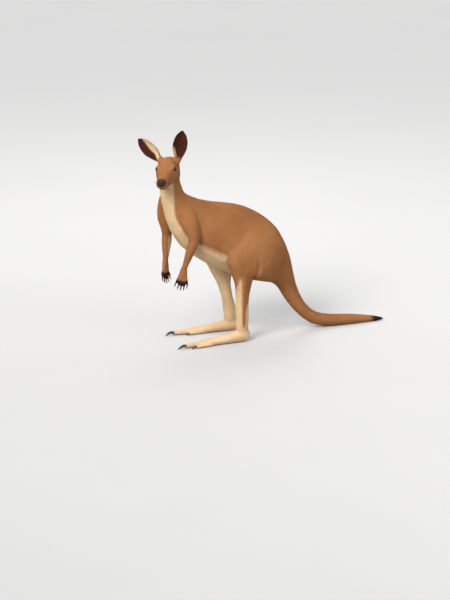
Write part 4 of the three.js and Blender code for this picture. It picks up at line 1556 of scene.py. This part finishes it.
def eye_paint(name):
    """Glass over a dark brown iris, by the stored angle and turn."""
    made, tree, shader = new_material(name)
    off = attribute(tree, "off_axis")
    streaks = spread(tree, noise(tree, 9, 5, attribute(tree, "iris_turn", "Vector")), 0.35, 0.68)
    colour = blended(tree, streaks, IRIS_DARK, IRIS_LIGHT)
    ring = spread(tree, off, IRIS_EDGE - 0.05, IRIS_EDGE + 0.02)
    colour = blended(tree, ring, colour, IRIS_RING)
    ball = spread(tree, off, IRIS_EDGE + 0.06, IRIS_EDGE + 0.26)
    colour = blended(tree, ball, colour, BALL_BROWN)
    pupil = spread(tree, off, PUPIL_EDGE - 0.03, PUPIL_EDGE + 0.04)
    colour = blended(tree, pupil, PUPIL, colour)
    tree.links.new(colour, shader.inputs["Base Color"])
    for socket, value in GLASS.items():
        shader.inputs[socket].default_value = value
    return made


eye_material = eye_paint("eye_glass")
print("eye paint:", len(eye_material.node_tree.nodes), "nodes")

# %% Eyeballs
CORNEA_ANGLE, CORNEA_BULGE = math.radians(37), 0.0009
BALL_SEGMENTS, BALL_RINGS = 64, 44
IRIS_SQUEEZE = 0.84  # makes iris and pupil a little longer from front to back
BEHIND = 2  # puts the back half of the ball beyond every edge of the paint

for side in SIDES:
    outward, front, above = eye_axes[side]
    mesh = bpy.data.meshes.new(f"eyeball_{side}")
    with reworked(mesh) as bm:
        bmesh.ops.create_uvsphere(bm, u_segments=BALL_SEGMENTS, v_segments=BALL_RINGS, radius=1.0)
    ball = points_of(mesh)
    off = np.arccos(np.clip(ball[:, 2], -1, 1))
    bulge = np.cos(np.clip(off / CORNEA_ANGLE, 0, 1) * math.pi / 2) ** 2
    radius = EYE_RADIUS + CORNEA_BULGE * bulge
    turned_ball = np.stack([front, above, outward], axis=1) @ (ball * radius[:, None]).T
    set_points(mesh, turned_ball.T + eyes[side])
    if np.dot(np.cross(front, above), outward) < 0:
        mesh.flip_normals()
    off_axis = np.hypot(ball[:, 0] * IRIS_SQUEEZE, ball[:, 1]) + (ball[:, 2] < 0) * BEHIND
    store(mesh, off_axis=off_axis)
    spokes = np.arctan2(ball[:, 1], ball[:, 0])
    outwards = 0.25 * np.hypot(ball[:, 0], ball[:, 1])
    store_places(mesh, "iris_turn", np.cos(spokes), np.sin(spokes), outwards)
    smooth(mesh)
    mesh.materials.append(eye_material)
    made = placed(f"eyeball_{side}", mesh)
    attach(made, "root")
    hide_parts(f"eye_{side}")
    print("eyeball", side, "radius", EYE_RADIUS, "points", len(mesh.vertices))

# %% [markdown]
# ## The claws
#
# A kangaroo's big toe ends in one long, blunt, black claw. The second toe
# has a smaller one beside it and the two grooming toes have one small
# claw each. The hand has five slim hooked claws. Each is swept along a
# curve that bends down to the tip. Its top is round, its underside flat,
# and its root goes a few millimetres into the toe, under the hair. Horn
# grows lengthwise, so the colour and the fine ridges are stretched along
# the claw, and the worn tip is paler and duller.

# %% Horn paint
HORN, HORN_LIGHT, HORN_WORN = (0.008, 0.007, 0.007), (0.026, 0.020, 0.017), (0.115, 0.095, 0.080)
HORN_ROUGHNESS, WORN_ROUGHNESS = 0.34, 0.58
SCUFF_SCALE, RIDGE_BUMP = 900, 0.0005


def horn_paint(name):
    """Black horn with fine ridges along it, greyer where the tip wears."""
    made, tree, shader = new_material(name)
    ridges = noise(tree, 7, 4, attribute(tree, "growth", "Vector"))
    horn = blended(tree, spread(tree, ridges, 0.34, 0.68), HORN, HORN_LIGHT)
    worn = spread(tree, attribute(tree, "worn"), 0.0, 1.0)
    scuffs = spread(tree, noise(tree, SCUFF_SCALE, 3), 0.45, 0.62)
    shared = tree.nodes.new("ShaderNodeMath")
    shared.operation = "MULTIPLY"
    tree.links.new(worn, shared.inputs[0])
    tree.links.new(scuffs, shared.inputs[1])
    colour = blended(tree, shared.outputs[0], horn, HORN_WORN)
    tree.links.new(colour, shader.inputs["Base Color"])
    roughness = spread(tree, worn, 0, 1, HORN_ROUGHNESS, WORN_ROUGHNESS)
    tree.links.new(roughness, shader.inputs["Roughness"])
    bumped(tree, shader, ridges, RIDGE_BUMP)
    return made


horn = horn_paint("horn")
print("horn paint:", len(horn.node_tree.nodes), "nodes")


# %% The mesh of a claw
CLAW_RINGS, CLAW_SIDES = 26, 28


def claw_faces(points):
    """The faces between a claw's rings, closed at its ends by its last two points."""
    faces = []
    for r in range(CLAW_RINGS - 1):
        for k in range(CLAW_SIDES):
            n = (k + 1) % CLAW_SIDES
            a, b = r * CLAW_SIDES, (r + 1) * CLAW_SIDES
            faces.append((a + k, a + n, b + n, b + k))
    last = (CLAW_RINGS - 1) * CLAW_SIDES
    for k in range(CLAW_SIDES):
        n = (k + 1) % CLAW_SIDES
        faces.append((points - 2, n, k))
        faces.append((points - 1, last + k, last + n))
    return faces


print("faces of a claw:", len(claw_faces(CLAW_RINGS * CLAW_SIDES + 2)))

# %% A claw swept along its curve
TAPER, TAPER_ROUND, NARROWING = 2.1, 0.62, 0.10
TOP_HIGH, UNDER_FLAT = 1.12, 0.42  # its round top and its flat underside, in radii
WIDE, UNDER_WIDE = 0.86, 0.06


def claw_mesh(name, root, tip, bend, across, root_radius):
    """A claw from root to tip, bent by that much, as a closed mesh."""
    axis = tip - root
    length = np.linalg.norm(axis)
    axis = axis / length
    t = np.linspace(0, 1, CLAW_RINGS)
    middle = root + axis * (t * length)[:, None] + bend * (4 * t * (1 - t))[:, None]
    along = np.gradient(middle, axis=0)
    along /= np.linalg.norm(along, axis=1)[:, None]
    top = np.cross(along, across)
    top *= np.sign((top @ bend).sum())
    side = np.cross(top, along)
    radius = root_radius * (1 - t**TAPER) ** TAPER_ROUND * (1 - NARROWING * t) + 0.00012
    theta = np.linspace(0, 2 * math.pi, CLAW_SIDES, endpoint=False)
    under = np.clip(-np.sin(theta), 0, 1)
    high = np.sin(theta) * (TOP_HIGH - UNDER_FLAT * under**0.7)
    wide = np.cos(theta) * (WIDE + UNDER_WIDE * under)
    ring = side[:, None] * wide[None, :, None] + top[:, None] * high[None, :, None]
    co = middle[:, None] + ring * radius[:, None, None]
    co = np.vstack([co.reshape(-1, 3), middle[0], middle[-1] + along[-1] * 0.0002])
    mesh = bpy.data.meshes.new(name)
    mesh.from_pydata(co.tolist(), [], claw_faces(len(co)))
    with reworked(mesh) as bm:
        bmesh.ops.recalc_face_normals(bm, faces=bm.faces)
    smooth(mesh)
    ring_t = np.append(np.repeat(t, CLAW_SIDES), [0, 1])
    ring_a = np.append(np.tile(theta, CLAW_RINGS), [0, 0])
    below = 0.4 * (np.sin(ring_a) < -0.3) * ring_t  # the underside wears too
    store(mesh, worn=np.clip(step(ring_t, 0.62, 1.0) + below, 0, 1))
    store_places(mesh, "growth", np.cos(ring_a), np.sin(ring_a), 0.35 * ring_t)
    return mesh


# %% Claws
ROOT_IN = 0.0035  # how far a claw's root goes into its toe
LOOK = 0.02  # how far along a claw the flesh is looked for, to tell root from tip
CLAW_BEND = 0.085  # of its length


def claw_line(name):
    """The root, the tip and the root's radius of a CAD claw."""
    co = points_of(nodes[name].data)
    middle = co.mean(0)
    axis = np.linalg.svd(co - middle, full_matrices=False)[2][0]
    ahead, behind = middle + axis * LOOK, middle - axis * LOOK
    if flesh_tree.find_nearest(ahead)[3] < flesh_tree.find_nearest(behind)[3]:
        axis = -axis  # now from the toe to the tip
    along = (co - middle) @ axis
    root = co[along < along.min() + 0.25 * np.ptp(along)].mean(0)
    tip = co[along > along.max() - 0.0008].mean(0)
    axis = (tip - root) / np.linalg.norm(tip - root)
    gap = co - root
    radius = np.linalg.norm(gap - (gap @ axis)[:, None] * axis, axis=1)
    thick_end = along < along.max() - 0.7 * np.ptp(along)
    return root, tip, np.percentile(radius[thick_end], 80)


CLAWS = sorted(n for n in nodes if "claw" in n)
for name in CLAWS:
    root, tip, radius = claw_line(name)
    axis = (tip - root) / np.linalg.norm(tip - root)
    back_way = np.array([0, 0, 1.0] if name.startswith("foot") else [-1.0, 0, 0])
    bend = back_way - axis * (back_way @ axis)
    bend *= CLAW_BEND * np.linalg.norm(tip - root) / np.linalg.norm(bend)
    across = np.cross(axis, bend)
    across /= np.linalg.norm(across)
    mesh = claw_mesh(f"horn_{name}", root - axis * ROOT_IN, tip, bend, across, radius)
    mesh.materials.append(horn)
    made = placed(f"horn_{name}", mesh)
    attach(made, "root")
    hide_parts(name)
print("claws:", len(CLAWS))

# %% [markdown]
# ## Whiskers and lashes
#
# Stiff dark hairs stand on the upper lip beside the nose, and a row of
# short lashes hangs from the upper lid. Each is a thin solid tapered hair
# of a few rings, because a curve or a particle would not travel. They are
# few, so each can have its own bend.

# %% The mesh and paint of single hairs
HAIR_RINGS, HAIR_TAPER = 6, 0.8
SPOKES = (0, 2.094, 4.189)  # a third of a turn apart
HAIR_DARK, HAIR_BROWN = (0.016, 0.010, 0.008), (0.060, 0.034, 0.020)
STIFF_ROUGHNESS = 0.38


def hair_mesh(name, hairs):
    """Tapered three-sided hairs as one mesh. A hair is a root, a way, a bend
    away from that way, a length and a radius."""
    co, faces = [], []
    for root, out_way, bend, length, radius in hairs:
        t = np.linspace(0, 1, HAIR_RINGS)
        middle = root + out_way * (t * length)[:, None] + bend * (t**2 * length)[:, None]
        first = np.cross(out_way, bend + (0.01, 0.02, 0.03))
        first /= np.linalg.norm(first)
        second = np.cross(out_way, first)
        start = len(co)
        for k in range(HAIR_RINGS - 1):
            for turn in SPOKES:
                spoke = first * math.cos(turn) + second * math.sin(turn)
                co.append(middle[k] + spoke * radius * (1 - HAIR_TAPER * t[k]))
        co.append(middle[-1])
        for k in range(HAIR_RINGS - 2):
            a = start + 3 * k
            faces += [(a + i, a + j, a + j + 3, a + i + 3) for i, j in ((0, 1), (1, 2), (2, 0))]
        a, end = start + 3 * (HAIR_RINGS - 2), len(co) - 1
        faces += [(a + i, a + j, end) for i, j in ((0, 1), (1, 2), (2, 0))]
        faces.append((start, start + 2, start + 1))
    mesh = bpy.data.meshes.new(name)
    mesh.from_pydata([tuple(p) for p in co], [], faces)
    smooth(mesh)
    return mesh


def hair_paint(name):
    """Dark stiff hair, a little browner in places."""
    made, tree, shader = new_material(name)
    shade = blended(tree, noise(tree, 120, 2), HAIR_DARK, HAIR_BROWN)
    tree.links.new(shade, shader.inputs["Base Color"])
    shader.inputs["Roughness"].default_value = STIFF_ROUGHNESS
    return made


stiff = hair_paint("stiff_hair")
print("hair paint:", len(stiff.node_tree.nodes), "nodes")

# %% Whiskers
WHISKER_SEATS = (  # forward and up in the head's frame, in head lengths
    (0.565, -0.062), (0.53, -0.078), (0.49, -0.070),
    (0.54, -0.098), (0.50, -0.100), (0.455, -0.088),
)
WHISKER_SIDE, WHISKER_SCATTER, WHISKERS_EACH = 0.10, 0.008, 2
WHISKER_LONG, WHISKER_THICK, WHISKER_IN = (0.020, 0.040), 0.00022, 0.001
WHISKER_OUT, SWEEP_BACK, SWEEP_UP = 0.75, (-0.70, -0.35), (-0.15, 0.20)

rng = np.random.default_rng(7)
hairs = []
for sign in IN_HEAD.values():
    for forward, high in WHISKER_SEATS:
        for _ in range(WHISKERS_EACH):
            seat = np.array([forward, sign * WHISKER_SIDE, high])
            seat = seat + rng.normal(0, WHISKER_SCATTER, 3)
            spot, normal, _, _ = skin_tree.find_nearest(from_head(*seat))
            sweep = (rng.uniform(*SWEEP_BACK), 0, rng.uniform(*SWEEP_UP))
            out_way = unit(np.array(normal) * WHISKER_OUT + head_axes @ sweep)
            bend = head_axes @ (-0.28, -0.10 * sign, -0.10)
            root = np.array(spot) - np.array(normal) * WHISKER_IN
            hairs.append((root, out_way, bend, rng.uniform(*WHISKER_LONG), WHISKER_THICK))
mesh = hair_mesh("whiskers", hairs)
mesh.materials.append(stiff)
made = placed("whiskers", mesh)
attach(made, "root")
print("whiskers:", len(hairs))

# %% Lashes
LASHES, LASH_LONG, LASH_THICK = 26, (0.0050, 0.0080), 0.00016
LASH_START, LASH_SPAN = 22, 136  # degrees round the opening, from its front corner
LASH_RING = 1.10  # their ring round the eye, in openings

for side in SIDES:
    outward, front, above = eye_axes[side]
    hairs = []
    for k in range(LASHES):
        share = (k + rng.uniform(-0.3, 0.3)) / (LASHES - 1)
        turn = math.radians(LASH_START + LASH_SPAN * share)
        x, y = LASH_RING * OPENING[0] * math.cos(turn), LASH_RING * OPENING[1] * math.sin(turn)
        ball = EYE_RADIUS + LID * 0.8
        depth = math.sqrt(max(ball**2 - x * x - y * y, 1e-8))
        root = eyes[side] + front * x + above * y + outward * depth
        out_way = unit(outward * 0.80 + above * 0.10 + front * (0.25 * math.cos(turn)))
        bend = above * 0.45 + front * (0.20 * math.cos(turn))
        hairs.append((root, out_way, bend, rng.uniform(*LASH_LONG), LASH_THICK))
    mesh = hair_mesh(f"lashes_{side}", hairs)
    mesh.materials.append(stiff)
    made = placed(f"lashes_{side}", mesh)
    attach(made, "root")
print("lashes on each eye:", LASHES)
